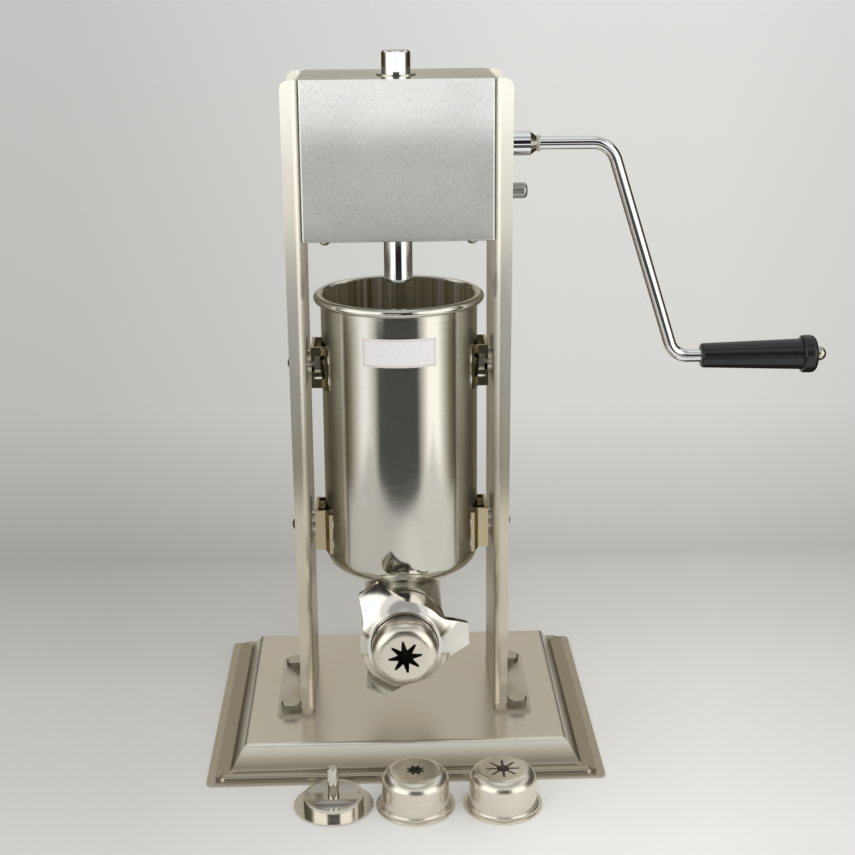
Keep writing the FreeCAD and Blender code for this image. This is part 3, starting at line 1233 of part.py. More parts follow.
make_base()
make_foot_fasteners()
make_uprights()
make_housing()
make_rod_bushes()
make_rod()
make_gear_train()
make_shaft_bushes()
make_crank()
make_barrel()
make_piston()
make_brackets()
make_nozzles()
make_wing_nut()
make_insert()

doc.recompute()
for item in doc.Objects:
    if "Invalid" in item.State or "Error" in item.State:
        raise RuntimeError(f"{item.Name} ({item.Label}) did not recompute: {item.State}")
for item in NODES:
    if item.Shape.isNull() or not item.Shape.isValid() or not item.Shape.Solids:
        raise RuntimeError(f"{item.Label} has no valid solid")

os.makedirs("parts", exist_ok=True)
for item in NODES:
    item.Shape.exportStep(f"parts/{item.Label}.step")
    print(f"{item.Label:20s} solids {len(item.Shape.Solids)}  volume {item.Shape.Volume:10.1f}")
print(len(NODES), "nodes")
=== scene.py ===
# %% [markdown]
# This notebook dresses a hand-cranked churro maker. The solids come ready-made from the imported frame,
# already at their real size, so this file only adds finishes, small details, a floor, light and a camera.

# %% Load the frame
import math

import bpy
from mathutils import Matrix, Vector


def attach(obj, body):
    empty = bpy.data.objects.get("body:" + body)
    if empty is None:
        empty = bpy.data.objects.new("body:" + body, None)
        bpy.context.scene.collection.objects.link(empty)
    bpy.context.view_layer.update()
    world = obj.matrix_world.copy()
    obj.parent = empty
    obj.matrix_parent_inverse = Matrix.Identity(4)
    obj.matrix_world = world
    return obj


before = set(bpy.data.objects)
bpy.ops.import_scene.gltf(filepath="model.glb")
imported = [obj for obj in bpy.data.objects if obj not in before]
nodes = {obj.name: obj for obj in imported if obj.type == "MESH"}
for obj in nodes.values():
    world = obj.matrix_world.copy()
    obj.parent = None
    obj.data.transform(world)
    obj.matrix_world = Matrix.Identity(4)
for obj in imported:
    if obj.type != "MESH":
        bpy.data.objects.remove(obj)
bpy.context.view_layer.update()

# %% [markdown]
# The camera stands about a metre in front of the machine, a little above the gear housing, and looks
# slightly down. It could be aimed with a constraint, but its place, turn and lens are kept as plain
# numbers here, so the view can be read and changed.

# %% Camera
CAMERA_PLACE = Vector((-0.0127, -0.9611, 0.5546))
CAMERA_TURN = math.radians(1.760)
CAMERA_DIP = math.radians(14.522)
CAMERA_ROLL = math.radians(-0.464)
LENS = 65.23
LENS_SHIFT = -0.09064
FARTHEST_SEEN = 50


def make_camera():
    camera = bpy.data.objects.new("camera", bpy.data.cameras.new("camera"))
    camera.data.lens = LENS
    camera.data.shift_y = LENS_SHIFT
    camera.data.clip_end = FARTHEST_SEEN
    turn = Matrix.Rotation(-CAMERA_TURN, 4, "Z")
    dip = Matrix.Rotation(math.pi / 2 - CAMERA_DIP, 4, "X")
    roll = Matrix.Rotation(CAMERA_ROLL, 4, "Z")
    camera.matrix_world = Matrix.Translation(CAMERA_PLACE) @ turn @ dip @ roll
    bpy.context.collection.objects.link(camera)
    bpy.context.scene.camera = camera
    return camera


camera = make_camera()
print("camera", [round(value, 3) for value in camera.location], "lens", LENS)

# %% [markdown]
# Every finish here is a small node graph. Written out node by node, the shape of a graph is lost among
# its settings. These helpers add one node, set its values and join its sockets in a single call, which
# keeps the graphs short enough to read.

# %% A node in one line


def add(tree, kind, inputs=(), **settings):
    """Add a node; inputs pairs a socket's name or number with a value or another node's output."""
    node = tree.nodes.new(kind)
    for name, value in settings.items():
        setattr(node, name, value)
    for socket, value in inputs:
        if isinstance(value, bpy.types.NodeSocket):
            tree.links.new(value, node.inputs[socket])
        else:
            node.inputs[socket].default_value = value
    return node


def work(tree, operation, *values):
    """One step of arithmetic on numbers."""
    return add(tree, "ShaderNodeMath", list(enumerate(values)), operation=operation).outputs[0]


def work_vector(tree, operation, *vectors):
    """One step of arithmetic on vectors."""
    return add(tree, "ShaderNodeVectorMath", list(enumerate(vectors)), operation=operation).outputs


def split(tree, vector):
    """The x, y and z of a vector."""
    return add(tree, "ShaderNodeSeparateXYZ", [(0, vector)]).outputs


print("node helpers:", add.__name__, work.__name__, work_vector.__name__, split.__name__)

# %% [markdown]
# Colours are written as a screen shows them, from 0 to 255, and worked out as the linear values that
# shaders count in. A ramp turns a number into a tone, a fade is a soft step, and a blend joins two tones.

# %% Colours, ramps and fades


def srgb(red, green, blue):
    """A screen colour from 0 to 255, as the linear colour that the shaders use."""
    def line(value):
        value /= 255
        return value / 12.92 if value <= 0.04045 else ((value + 0.055) / 1.055) ** 2.4
    return line(red), line(green), line(blue)


def ramp(tree, factor, stops):
    """A colour ramp; stops are pairs of a position and a grey or a colour."""
    node = add(tree, "ShaderNodeValToRGB", [(0, factor)])
    marks = node.color_ramp.elements
    while len(marks) < len(stops):
        marks.new(0.5)
    for mark, (position, colour) in zip(marks, stops):
        mark.position = position
        mark.color = (*colour, 1) if isinstance(colour, tuple) else (colour, colour, colour, 1)
    return node.outputs[0]


def fade(tree, value, start, end):
    """0 before start, 1 past end, and a soft step between them."""
    return add(tree, "ShaderNodeMapRange", [(0, value), (1, start), (2, end)],
               interpolation_type="SMOOTHSTEP").outputs[0]


def blend(tree, factor, first, second, way="MIX"):
    """Join two colours: mixed, multiplied, or whichever is lighter."""
    return add(tree, "ShaderNodeMix", [(0, factor), (6, first), (7, second)], data_type="RGBA",
               blend_type=way).outputs[2]


print("a grey of 128 on a screen is", round(srgb(128, 128, 128)[0], 3), "of white's light")

# %% [markdown]
# Polished steel is mostly a picture of the room around it: a pale table, a dark person and camera in
# the middle of the room in front, a bright soft box on each side of them, and dim walls to the left
# and right. The room could be built from planes and lamps, but a ramp over the bearing round the
# machine paints it with a few stops that are easy to move. Each stop is a bearing in degrees, 0 in
# front and less than 0 to the left, with its tone. The soft boxes are stronger than white, as lamps
# are, because a brushed sheet gathers only a share of them.

# %% The room that the metal reflects
BACKDROP = srgb(182, 176, 162)
DIM_WALL = srgb(56, 48, 36)


def tinted(grey, green=1.0, blue=1.0):
    """A grey, brighter than white where it has to be, with a slight warm tint."""
    return grey, grey * green, grey * blue


def lamp_tones(glow):
    """The white of a soft box, and the tone at its edge."""
    return tinted(glow, green=0.985, blue=0.95), tinted(0.45 * glow, green=0.98, blue=0.9)


def soft_boxes(glow, dark, left, right):
    """Soft boxes that fade in and out, on both sides of a dark middle from left to right."""
    white, half_lit = lamp_tones(glow)
    shaded = tinted(0.8 * glow)
    return [(-106, srgb(62, 54, 38)), (-95, srgb(104, 96, 74)), (-84, srgb(84, 76, 56)),
            (-76, srgb(138, 130, 108)), (-66, half_lit), (-56, shaded), (-48, shaded),
            (left - 8, half_lit), (left, dark), (right, dark), (right + 8, half_lit),
            (41, white), (55, white), (66, half_lit), (75, srgb(132, 124, 100)),
            (85, srgb(76, 68, 50)), (97, srgb(56, 48, 34))]


def sharp_boxes(glow, dark, left, right):
    """Soft boxes that end at a clear edge beside the dark middle."""
    white, half_lit = lamp_tones(glow)
    return [(-112, srgb(66, 58, 40)), (-92, srgb(104, 95, 72)), (-84, half_lit), (-74, white),
            (left - 3, white), (left, dark), (right, dark), (right + 3, white), (70, white),
            (78, half_lit), (88, srgb(104, 95, 74)), (99, srgb(62, 54, 38))]


def room(boxes):
    """Stops for a ramp all the way round: the boxes, dim walls beside them and a pale wall behind."""
    left = [(-180, BACKDROP), (-162, BACKDROP), (-152, DIM_WALL)]
    right = [(127, DIM_WALL), (152, DIM_WALL), (162, BACKDROP), (180, BACKDROP)]
    return [(0.5 + degrees / 360, tone) for degrees, tone in left + boxes + right]


print("a room has", len(room(sharp_boxes(1.0, DIM_WALL, -20, 20))), "stops or more")

# %% [markdown]
# The higher a place is on an upright sheet, the farther out is the floor that it mirrors, so the
# floor carries four rooms, one round another. The near one has soft edges and serves the lower parts,
# the next is sharper and darker, and in the far ones the dark middle gives way to a pale wall. One
# room alone would be simpler, but the barrel and the cover don't mirror the same one.

# %% Four rooms, one round another
NEAR_ROOM = room(soft_boxes(1.45, srgb(70, 73, 70), -30, 24))
MIDDLE_ROOM = room(sharp_boxes(1.3, srgb(36, 29, 34), -22, 25))
FAR_ROOM = room(sharp_boxes(1.3, srgb(186, 186, 182), -20, 18))
FARTHEST_ROOM = room(sharp_boxes(1.5, tinted(1.12), -20, 18))
ROOMS_BEYOND = [(MIDDLE_ROOM, 1.3, 1.8), (FAR_ROOM, 1.9, 2.05), (FARTHEST_ROOM, 3.5, 4.3)]


def bearing(tree, way):
    """Turn round the machine's axis from behind by the left: 0.5 is the front, 0 and 1 are behind."""
    parts = split(tree, way)
    turn = work(tree, "ARCTAN2", parts[0], work(tree, "MULTIPLY", parts[1], -1.0))
    return work(tree, "MULTIPLY_ADD", turn, 0.5 / math.pi, 0.5)


def paint_rooms(tree, turn, reach):
    """The near room, and each farther one from where its reach in metres starts."""
    walls = ramp(tree, turn, NEAR_ROOM)
    for stops, start, end in ROOMS_BEYOND:
        walls = blend(tree, fade(tree, reach, start, end), walls, ramp(tree, turn, stops))
    return walls


print("rooms start at", [start for stops, start, end in ROOMS_BEYOND], "m")

# %% [markdown]
# The floor itself is one large matt sheet, like paper on a table. Lamps could shade it, but painted shade
# in its colour is simpler to steer: one ramp follows how steeply the eye looks down at a place and paints
# it paler in front and greyer at mid depth and at the wall's foot, another follows how far it is to the
# side and paints it darker to the left and lighter to the right.

# %% Painted shade of the floor
STEEPEST_LOOK = 0.65
NEAREST_LOOK = 0.5
# painted shade: paler in front, greyer at mid depth, darkest at the wall's foot
DEPTH_PAINTED_SHADE = [(0.05, srgb(212, 213, 211)), (0.46, srgb(203, 203, 200)), (0.6, srgb(181, 180, 176)),
               (0.625, srgb(178, 177, 173)), (0.637, srgb(184, 183, 179)), (0.77, srgb(211, 210, 207)),
               (0.97, srgb(231, 230, 228))]
# painted shade: darker to the left, lighter to the right
SIDE_PAINTED_SHADE = [(0.2, 0.84), (0.3, 0.86), (0.42, 0.98), (0.6, 1.15), (0.72, 1.15), (0.82, 1.06)]


def floor_painted_shade(tree, parts):
    """The floor's colour with painted shade, by its slope of sight and by its place from left to right."""
    ahead = work(tree, "SUBTRACT", parts[1], CAMERA_PLACE.y)
    ahead = work(tree, "MAXIMUM", ahead, NEAREST_LOOK)
    slope = work(tree, "DIVIDE", CAMERA_PLACE.z / STEEPEST_LOOK, ahead)
    across = work(tree, "ADD", work(tree, "DIVIDE", parts[0], ahead), 0.5)
    tone = ramp(tree, slope, DEPTH_PAINTED_SHADE)
    shade = ramp(tree, across, SIDE_PAINTED_SHADE)
    return add(tree, "ShaderNodeVectorMath", [(0, tone), ("Scale", shade)], operation="SCALE").outputs[0]


print("floor tones", len(DEPTH_PAINTED_SHADE), "in depth and", len(SIDE_PAINTED_SHADE), "across")

# %% [markdown]
# Near the machine the metal has to mirror the table, and only past the table's edges the room. A mask
# says where the table ends: in front, at the sides, and behind the machine outside its base. The room
# is shown to glossy rays alone, so the camera and the light see nothing but the matt sheet.

# %% Floor
AXIS = (0.0, 0.1, 0.0)
FLOOR_HALF = 30.0
TABLE_FRONT, TABLE_EDGE = -0.43, 0.03
TABLE_SIDE_START, TABLE_SIDE_END = 0.48, 0.62
BEHIND_START, BEHIND_END = 0.21, 0.242
BASE_REACH, CLEAR_REACH = 0.2, 0.25


def past_table(tree, parts, turn, reach):
    """1 past the table's front and sides, and behind the machine clear of its base."""
    past_front = fade(tree, parts[1], TABLE_FRONT + TABLE_EDGE, TABLE_FRONT - TABLE_EDGE)
    past_side = fade(tree, work(tree, "ABSOLUTE", parts[0]), TABLE_SIDE_START, TABLE_SIDE_END)
    from_front = work(tree, "ABSOLUTE", work(tree, "ADD", turn, -0.5))
    behind = fade(tree, from_front, BEHIND_START, BEHIND_END)
    behind = work(tree, "MULTIPLY", behind, fade(tree, reach, BASE_REACH, CLEAR_REACH))
    return work(tree, "MAXIMUM", work(tree, "MAXIMUM", past_front, past_side), behind)


def floor_material():
    material = bpy.data.materials.new("floor")
    material.use_nodes = True
    tree = material.node_tree
    tree.nodes.clear()
    spot = add(tree, "ShaderNodeNewGeometry").outputs["Position"]
    parts = split(tree, spot)
    middle = work_vector(tree, "SUBTRACT", spot, AXIS)[0]
    reach = work_vector(tree, "LENGTH", middle)["Value"]
    turn = bearing(tree, middle)
    matt = add(tree, "ShaderNodeBsdfDiffuse", [(0, floor_painted_shade(tree, parts))]).outputs[0]
    glow = add(tree, "ShaderNodeEmission", [(0, paint_rooms(tree, turn, reach))]).outputs[0]
    seen = add(tree, "ShaderNodeLightPath").outputs["Is Glossy Ray"]
    mirrored = work(tree, "MULTIPLY", seen, past_table(tree, parts, turn, reach))
    mix = add(tree, "ShaderNodeMixShader", [(0, mirrored), (1, matt), (2, glow)]).outputs[0]
    add(tree, "ShaderNodeOutputMaterial", [(0, mix)])
    return material


def make_mesh(name, points, faces, *materials):
    """A mesh object of the given points and faces, placed where its points say."""
    mesh = bpy.data.meshes.new(name)
    mesh.from_pydata(points, [], faces)
    for material in materials:
        mesh.materials.append(material)
    piece = bpy.data.objects.new(name, mesh)
    bpy.context.collection.objects.link(piece)
    return piece


def make_floor():
    corners = [(-FLOOR_HALF, -FLOOR_HALF, 0), (FLOOR_HALF, -FLOOR_HALF, 0),
               (FLOOR_HALF, FLOOR_HALF, 0), (-FLOOR_HALF, FLOOR_HALF, 0)]
    floor = make_mesh("floor", corners, [(0, 1, 2, 3)], floor_material())
    return floor


floor = make_floor()
print(floor.name, "is", 2 * FLOOR_HALF, "m wide")

# %% [markdown]
# What the metal mirrors above the horizon is painted on the world by height: the same soft boxes low
# down, a dark ceiling in front and a pale one behind, a lit strip at the ceiling's foot, and a cool
# white overhead. A panorama of a real room would do it too, but this one is steered number by number.

# %% Sky that the metal reflects
LOW_ROOM = room(sharp_boxes(1.5, srgb(40, 34, 36), -22, 24))
PALE_CEILING, GREY_CEILING, DARK_CEILING = srgb(222, 222, 218), srgb(150, 146, 136), srgb(62, 59, 55)
CEILING = [(0.0, PALE_CEILING), (0.27, GREY_CEILING), (0.36, DARK_CEILING),
           (0.64, DARK_CEILING), (0.73, GREY_CEILING), (1.0, PALE_CEILING)]
LIT_STRIP = [(0.54, 0.0), (0.6, 0.85), (0.76, 0.85), (0.8, 0.4), (0.96, 0.4)]
OVERHEAD = (*srgb(232, 238, 240), 1)
CEILING_START, CEILING_END = 0.5, 0.75
OVERHEAD_START, OVERHEAD_END = 0.93, 0.98


def mirrored_sky(tree):
    way = add(tree, "ShaderNodeTexCoord").outputs["Generated"]
    height = split(tree, way)[2]
    turn = bearing(tree, way)
    upper = fade(tree, height, CEILING_START, CEILING_END)
    sky = blend(tree, upper, ramp(tree, turn, LOW_ROOM), ramp(tree, turn, CEILING))
    sky = blend(tree, 1.0, sky, ramp(tree, height, LIT_STRIP), way="LIGHTEN")
    return blend(tree, fade(tree, height, OVERHEAD_START, OVERHEAD_END), sky, OVERHEAD)


print("sky of", len(LOW_ROOM), "and", len(CEILING), "stops round, and", len(LIT_STRIP), "upwards")

# %% [markdown]
# The light is plain and soft: an even world for the fill and one wide sun from above, together about
# as bright as a white sheet of paper needs to render white. Area lamps would do as well, but they
# would show in the steel as squares. The sun stays out of the reflections too, where it would be a
# second soft box.

# %% World and sun
FILL_COLOUR, FILL = (1.0, 0.995, 0.985, 1), 0.85
WALL_COLOUR = (*srgb(212, 213, 211), 1)
SUN = 0.47
SUN_WIDTH = math.radians(50)
SUN_TILT = (math.radians(28), math.radians(14), 0)


def make_world():
    world = bpy.data.worlds.new("studio")
    bpy.context.scene.world = world
    world.use_nodes = True
    tree = world.node_tree
    tree.nodes.clear()
    mirror = add(tree, "ShaderNodeBackground", [(0, mirrored_sky(tree)), (1, 1.0)]).outputs[0]
    fill = add(tree, "ShaderNodeBackground", [(0, FILL_COLOUR), (1, FILL)]).outputs[0]
    wall = add(tree, "ShaderNodeBackground", [(0, WALL_COLOUR), (1, 1.0)]).outputs[0]
    path = add(tree, "ShaderNodeLightPath").outputs
    mix = add(tree, "ShaderNodeMixShader", [(0, path["Is Glossy Ray"]), (1, fill), (2, mirror)]).outputs[0]
    mix = add(tree, "ShaderNodeMixShader", [(0, path["Is Camera Ray"]), (1, mix), (2, wall)]).outputs[0]
    add(tree, "ShaderNodeOutputWorld", [(0, mix)])


def make_sun():
    light = bpy.data.lights.new("sun", "SUN")
    light.energy = SUN
    light.angle = SUN_WIDTH
    sun = bpy.data.objects.new("sun", light)
    sun.rotation_euler = SUN_TILT
    sun.visible_glossy = False
    bpy.context.collection.objects.link(sun)


make_world()
make_sun()
bpy.context.scene.view_settings.view_transform = "Standard"
print("fill", FILL, "and sun", SUN)

# %% [markdown]
# No real surface is one flat colour. A noise pattern that moves the tone and the roughness by a very
# little is enough to make sheet, bar and plastic look made, and it needs no image files. The same few
# helpers serve every finish: the noise, its effect on the colour and blur, and its effect on the skin.

# %% Mottled finishes
NOISE_LOW, NOISE_HIGH = 0.3, 0.7


def place_on(tree):
    """The place on the solid, in metres."""
    return add(tree, "ShaderNodeTexCoord").outputs["Object"]


def noise(tree, place, scale, detail):
    return add(tree, "ShaderNodeTexNoise", [(0, place), ("Scale", scale), ("Detail", detail)]).outputs[0]


def mottle(tree, pattern, colour, tone, rough, play):
    """Vary the colour by a share of tone and the roughness by play, as the pattern goes."""
    shader = tree.nodes["Principled BSDF"]
    dark = tuple(value * (1 - tone) for value in colour)
    light = tuple(min(1.0, value * (1 + tone)) for value in colour)
    tones = ramp(tree, pattern, [(NOISE_LOW, dark), (NOISE_HIGH, light)])
    tree.links.new(tones, shader.inputs["Base Color"])
    blur = add(tree, "ShaderNodeMapRange", [(0, pattern), (1, NOISE_LOW), (2, NOISE_HIGH),
                                            (3, rough - play), (4, rough + play)]).outputs[0]
    tree.links.new(blur, shader.inputs["Roughness"])


def ripple(tree, pattern, strength, depth):
    """Raise the skin by the pattern, depth metres at most."""
    ridges = add(tree, "ShaderNodeBump", [("Height", pattern), ("Strength", strength), ("Distance", depth)])
    tree.links.new(ridges.outputs[0], tree.nodes["Principled BSDF"].inputs["Normal"])


print("patterns run from", NOISE_LOW, "to", NOISE_HIGH)

# %% [markdown]
# The machine is stainless sheet and bar in several finishes. They differ in how far reflections are
# blurred, which way the brushing runs and how much dull oxide lies on top. One maker serves them all:
# a noise stretched along the grain gives the brushing, a cloudy noise adds handling marks, and the
# anisotropy smears the reflections across the brushing.

# %% Steel
GRAIN_DEPTH = 0.0002
CLOUD_SHARE = 0.4


def steel(name, colour, rough, grain=(400, 400, 400), tone=0.05, rough_play=0.04, bump=0.02, metal=1.0,
          brushed=0.0, upright=False, cloud=14.0):
    """A steel finish; grain is lines per metre on each axis, upright turns the smear to run up and down."""
    material = bpy.data.materials.new(name)
    material.use_nodes = True
    tree = material.node_tree
    shader = tree.nodes["Principled BSDF"]
    shader.inputs["Metallic"].default_value = metal
    spot = place_on(tree)
    along = add(tree, "ShaderNodeMapping", [(0, spot), (3, grain)]).outputs[0]
    lines = noise(tree, along, 1.0, 4.0)
    marks = noise(tree, spot, cloud, 3.0)
    both = add(tree, "ShaderNodeMix", [(0, CLOUD_SHARE), (2, lines), (3, marks)], data_type="FLOAT")
    mottle(tree, both.outputs[0], colour, tone, rough, rough_play)
    if brushed:
        shader.inputs["Anisotropic"].default_value = brushed
        shader.inputs["Anisotropic Rotation"].default_value = 0.25 if upright else 0.0
        round_axis = add(tree, "ShaderNodeTangent", direction_type="RADIAL", axis="Z").outputs[0]
        tree.links.new(round_axis, shader.inputs["Tangent"])
    if bump:
        ripple(tree, lines, bump, GRAIN_DEPTH)
    return material


def dress(material, *names):
    """Give solids a finish; their shapes stay as they are."""
    for name in names:
        mesh = nodes[name].data
        mesh.materials.clear()
        mesh.materials.append(material)
    print(material.name, "on", ", ".join(names))


print("steel's grain is", GRAIN_DEPTH, "m deep at most")

# %% [markdown]
# The sheet parts are brushed before they are bent. The base has a fine even grain from side to side.
# On the uprights and the housing it runs up, so their reflections smear sideways into level bands, and
# it shows most on the housing. A bump would break such bands into sparks, so the sheets have none.

# %% Base, uprights and housing
base_steel = steel("base_steel", srgb(236, 231, 220), 0.24, grain=(40, 1200, 1200), metal=0.9, tone=0.012,
                   rough_play=0.008, bump=0)
upright_steel = steel("upright_steel", srgb(250, 247, 236), 0.26, grain=(900, 900, 60), metal=0.8,
                      tone=0.02, rough_play=0.01, bump=0, brushed=1.0)
housing_steel = steel("housing_steel", srgb(224, 225, 222), 0.14, grain=(1700, 1700, 300), tone=0.2,
                      rough_play=0.01, bump=0, metal=0.85, brushed=1.0)
dress(base_steel, "base_plate")
dress(upright_steel, "left_upright", "right_upright")
dress(housing_steel, "gear_housing", "front_cover")

# %% [markdown]
# The barrel is drawn tube with a bright polish, and its brackets are bent from a yellower strip. A
# plain mirror would show the room too clearly on the barrel, so a light smear up and down softens it.

# %% Barrel and brackets
barrel_steel = steel("barrel_steel", srgb(214, 212, 203), 0.10, grain=(60, 60, 900), tone=0.04,
                     rough_play=0.03, bump=0, metal=0.97, brushed=0.4, upright=True)
bracket_steel = steel("bracket_steel", srgb(186, 174, 144), 0.11, grain=(900, 900, 90), tone=0.08)
dress(barrel_steel, "barrel", "spout_collar")
dress(bracket_steel, "left_upper_bracket", "left_lower_bracket", "right_upper_bracket",
      "right_lower_bracket")

# %% [markdown]
# The wing nut is smooth and bright, the nozzles are satin, and the tube insert shows the fine rings of
# turning. Rings could be cut as grooves, but they are too fine to be worth any faces, so the grain of
# the finish carries them.

# %% Nut, nozzles and tube insert
nut_steel = steel("nut_steel", srgb(232, 229, 221), 0.13, grain=(200, 200, 200), tone=0.03, rough_play=0.03)
nozzle_steel = steel("nozzle_steel", srgb(230, 224, 211), 0.25, grain=(150, 150, 1400), metal=0.95,
                     tone=0.06)
turned_steel = steel("turned_steel", srgb(226, 222, 213), 0.13, grain=(90, 90, 2600), tone=0.1,
                     rough_play=0.05)
dress(nut_steel, "wing_nut")
dress(nozzle_steel, "star_nozzle", "small_star_nozzle", "slit_star_nozzle")
dress(turned_steel, "tube_insert", "tube_insert_pin")

# %% [markdown]
# The moving parts are harder metal. Rod and crank are chromed, which is close to a mirror, the gears
# are dark cut steel, and the shafts are a little dull and turn in bronze bushes. Bolts, pins and rings
# could each have a finish, but they are so small that one plain bright one serves them all.

# %% Rod, crank, shafts, gears and fasteners
fastener_steel = steel("fastener_steel", srgb(206, 202, 190), 0.20)
chrome = steel("chrome", srgb(240, 240, 242), 0.035, tone=0.015, rough_play=0.015, bump=0)
shaft_steel = steel("shaft_steel", srgb(176, 182, 172), 0.34, grain=(60, 1200, 1200), metal=0.9)
gear_steel = steel("gear_steel", (0.45, 0.44, 0.43), 0.32)
bronze = steel("bronze", (0.62, 0.42, 0.20), 0.30)
dress(fastener_steel, "foot_bolts", "foot_washers", "foot_nuts", "cover_screws", "barrel_bolts",
      "barrel_spacers", "barrel_cap_nuts", "grip_cap_nut", "piston_nut", "main_shaft_pins",
      "main_shaft_rings", "slow_shaft_pin", "slow_shaft_rings", "top_rod_bush")
dress(chrome, "rack_rod", "crank_arm")
dress(shaft_steel, "main_shaft", "slow_shaft")
dress(gear_steel, "main_gear", "slow_gear", "rack_pinion")
dress(bronze, "shaft_bushes", "bottom_rod_bush")

# %% [markdown]
# The grip is moulded in black plastic with a soft gloss, the piston disc is white nylon and its lip
# seal and the nozzle's seal are rubber. None of them is a metal, so they get a maker of their own,
# with one fine speckle in place of brushing and clouds.

# %% Plastic, nylon and rubber
SKIN_TONE, SKIN_PLAY = 0.15, 0.04
SKIN_BUMP, SKIN_DEPTH = 0.03, 0.0001


def moulded(name, colour, rough, speckle=900.0):
    """A moulded or printed finish; speckle is grains per metre."""
    material = bpy.data.materials.new(name)
    material.use_nodes = True
    tree = material.node_tree
    grit = noise(tree, place_on(tree), speckle, 3.0)
    mottle(tree, grit, colour, SKIN_TONE, rough, SKIN_PLAY)
    ripple(tree, grit, SKIN_BUMP, SKIN_DEPTH)
    return material


grip_black = moulded("grip_black", (0.012, 0.012, 0.013), 0.22)
piston_nylon = moulded("piston_nylon", (0.80, 0.79, 0.74), 0.45)
seal_rubber = moulded("seal_rubber", (0.75, 0.74, 0.70), 0.55)
dress(grip_black, "crank_grip")
dress(piston_nylon, "piston_disc")
dress(seal_rubber, "piston_seal", "nozzle_seal")
print("undressed solids:", [name for name, node in nodes.items() if not node.data.materials])

# %% [markdown]
# The barrel is polished outside, but inside it keeps the dull streaks of its drawing, and the same
# streaks carry painted reflection bands, cream, brown and white. Its inner faces could be picked out and
# given another material. A mask worked out from the place on the solid does it with no faces to pick:
# it is 1 inside the wall and above the cone, 0 on the outer skin, and it mixes the second finish in.

# %% Streaks and painted reflections inside the barrel
BARREL_SKIN, BARREL_SKIN_END = 0.0537, 0.0541
CONE_TOP, CONE_TOP_END = 0.1345, 0.136
STREAKS_PER_METRE = 220
STREAK_METAL = 0.45
# tones that are partly the drawing's dull streaks and partly painted reflection bands
STREAKS_AND_PAINTED_REFLECTION = [(0.36, srgb(150, 138, 108)), (0.5, srgb(196, 186, 160)), (0.6, srgb(206, 198, 176)),
           (0.66, srgb(244, 240, 226))]


def second_finish(material, mask, colour, metal):
    """Mix another colour and metalness into a finish where the mask is 1."""
    tree = material.node_tree
    shader = tree.nodes["Principled BSDF"]
    first = shader.inputs["Base Color"].links[0].from_socket
    tree.links.new(blend(tree, mask, first, colour), shader.inputs["Base Color"])
    before = shader.inputs["Metallic"].default_value
    share = add(tree, "ShaderNodeMapRange", [(0, mask), (3, before), (4, metal)]).outputs[0]
    tree.links.new(share, shader.inputs["Metallic"])


def dress_barrel_inside():
    tree = barrel_steel.node_tree
    spot = place_on(tree)
    middle = work_vector(tree, "SUBTRACT", spot, AXIS)[0]
    flat = work_vector(tree, "MULTIPLY", middle, (1, 1, 0))[0]
    radius = work_vector(tree, "LENGTH", flat)["Value"]
    within = work(tree, "SUBTRACT", 1.0, fade(tree, radius, BARREL_SKIN, BARREL_SKIN_END))
    above_cone = fade(tree, split(tree, spot)[2], CONE_TOP, CONE_TOP_END)
    inside = work(tree, "MULTIPLY", above_cone, within)
    streaks_and_reflections = ramp(tree, noise(tree, flat, STREAKS_PER_METRE, 2.0), STREAKS_AND_PAINTED_REFLECTION)
    second_finish(barrel_steel, inside, streaks_and_reflections, STREAK_METAL)


dress_barrel_inside()
print("streaks nearer to the axis than", BARREL_SKIN, "m in", barrel_steel.name)

# %% [markdown]
# Cone and spout are pressed and welded on, and they are polished less than the wall, so they blur
# their reflections more. Only the roughness changes, from one height to another, and that needs a
# single node instead of a second material.

# %% Duller spout
WALL_FOOT, SPOUT_TOP = 0.1315, 0.126
SPOUT_ROUGH = 0.2


def dull_spout():
    tree = barrel_steel.node_tree
    shader = tree.nodes["Principled BSDF"]
    height = split(tree, place_on(tree))[2]
    first = shader.inputs["Roughness"].links[0].from_socket
    share = add(tree, "ShaderNodeMapRange", [(0, height), (1, WALL_FOOT), (2, SPOUT_TOP),
                                             (3, first), (4, SPOUT_ROUGH)]).outputs[0]
    tree.links.new(share, shader.inputs["Roughness"])


dull_spout()
print("roughness", SPOUT_ROUGH, "below", SPOUT_TOP, "m")

# %% [markdown]
# Low on the machine, sheet faces sheet. The hollow of the base's skirt mirrors the table and itself,
# and the uprights' lower part mirrors the base, so both look darker there. That darkness is painted
# shade, a tone multiplied in by height, which steers it better than more light would; the same tone
# paints a highlight along the top of the skirt and paints the uprights lighter towards their top. The
# uprights' feet are left as plain sheet, like the deck under them, by the same kind of mask as the
# barrel's.

# %% Painted shade and highlight low down, and plain feet
TONE_HEIGHT = 0.5
# painted shade darker towards the skirt's foot, and a painted highlight along its top
SKIRT_PAINTED_SHADE_AND_HIGHLIGHT = [(0.004, srgb(206, 202, 192)), (0.01, srgb(172, 165, 150)), (0.018, srgb(206, 200, 186)),
               (0.03, srgb(255, 255, 252)), (0.038, srgb(255, 255, 255)), (0.04, srgb(222, 217, 208))]
# painted shade low on the uprights, and painted light towards their top
UPRIGHT_PAINTED_SHADE_AND_LIGHT = [(0.06, srgb(232, 228, 220)), (0.2, srgb(214, 209, 198)), (0.42, srgb(228, 224, 215)),
                 (0.58, srgb(255, 255, 255))]
FOOT_TOP, FOOT_TOP_END = 0.0209, 0.0222
FOOT_COLOUR, FOOT_METAL = (*srgb(206, 199, 184), 1), 0.9


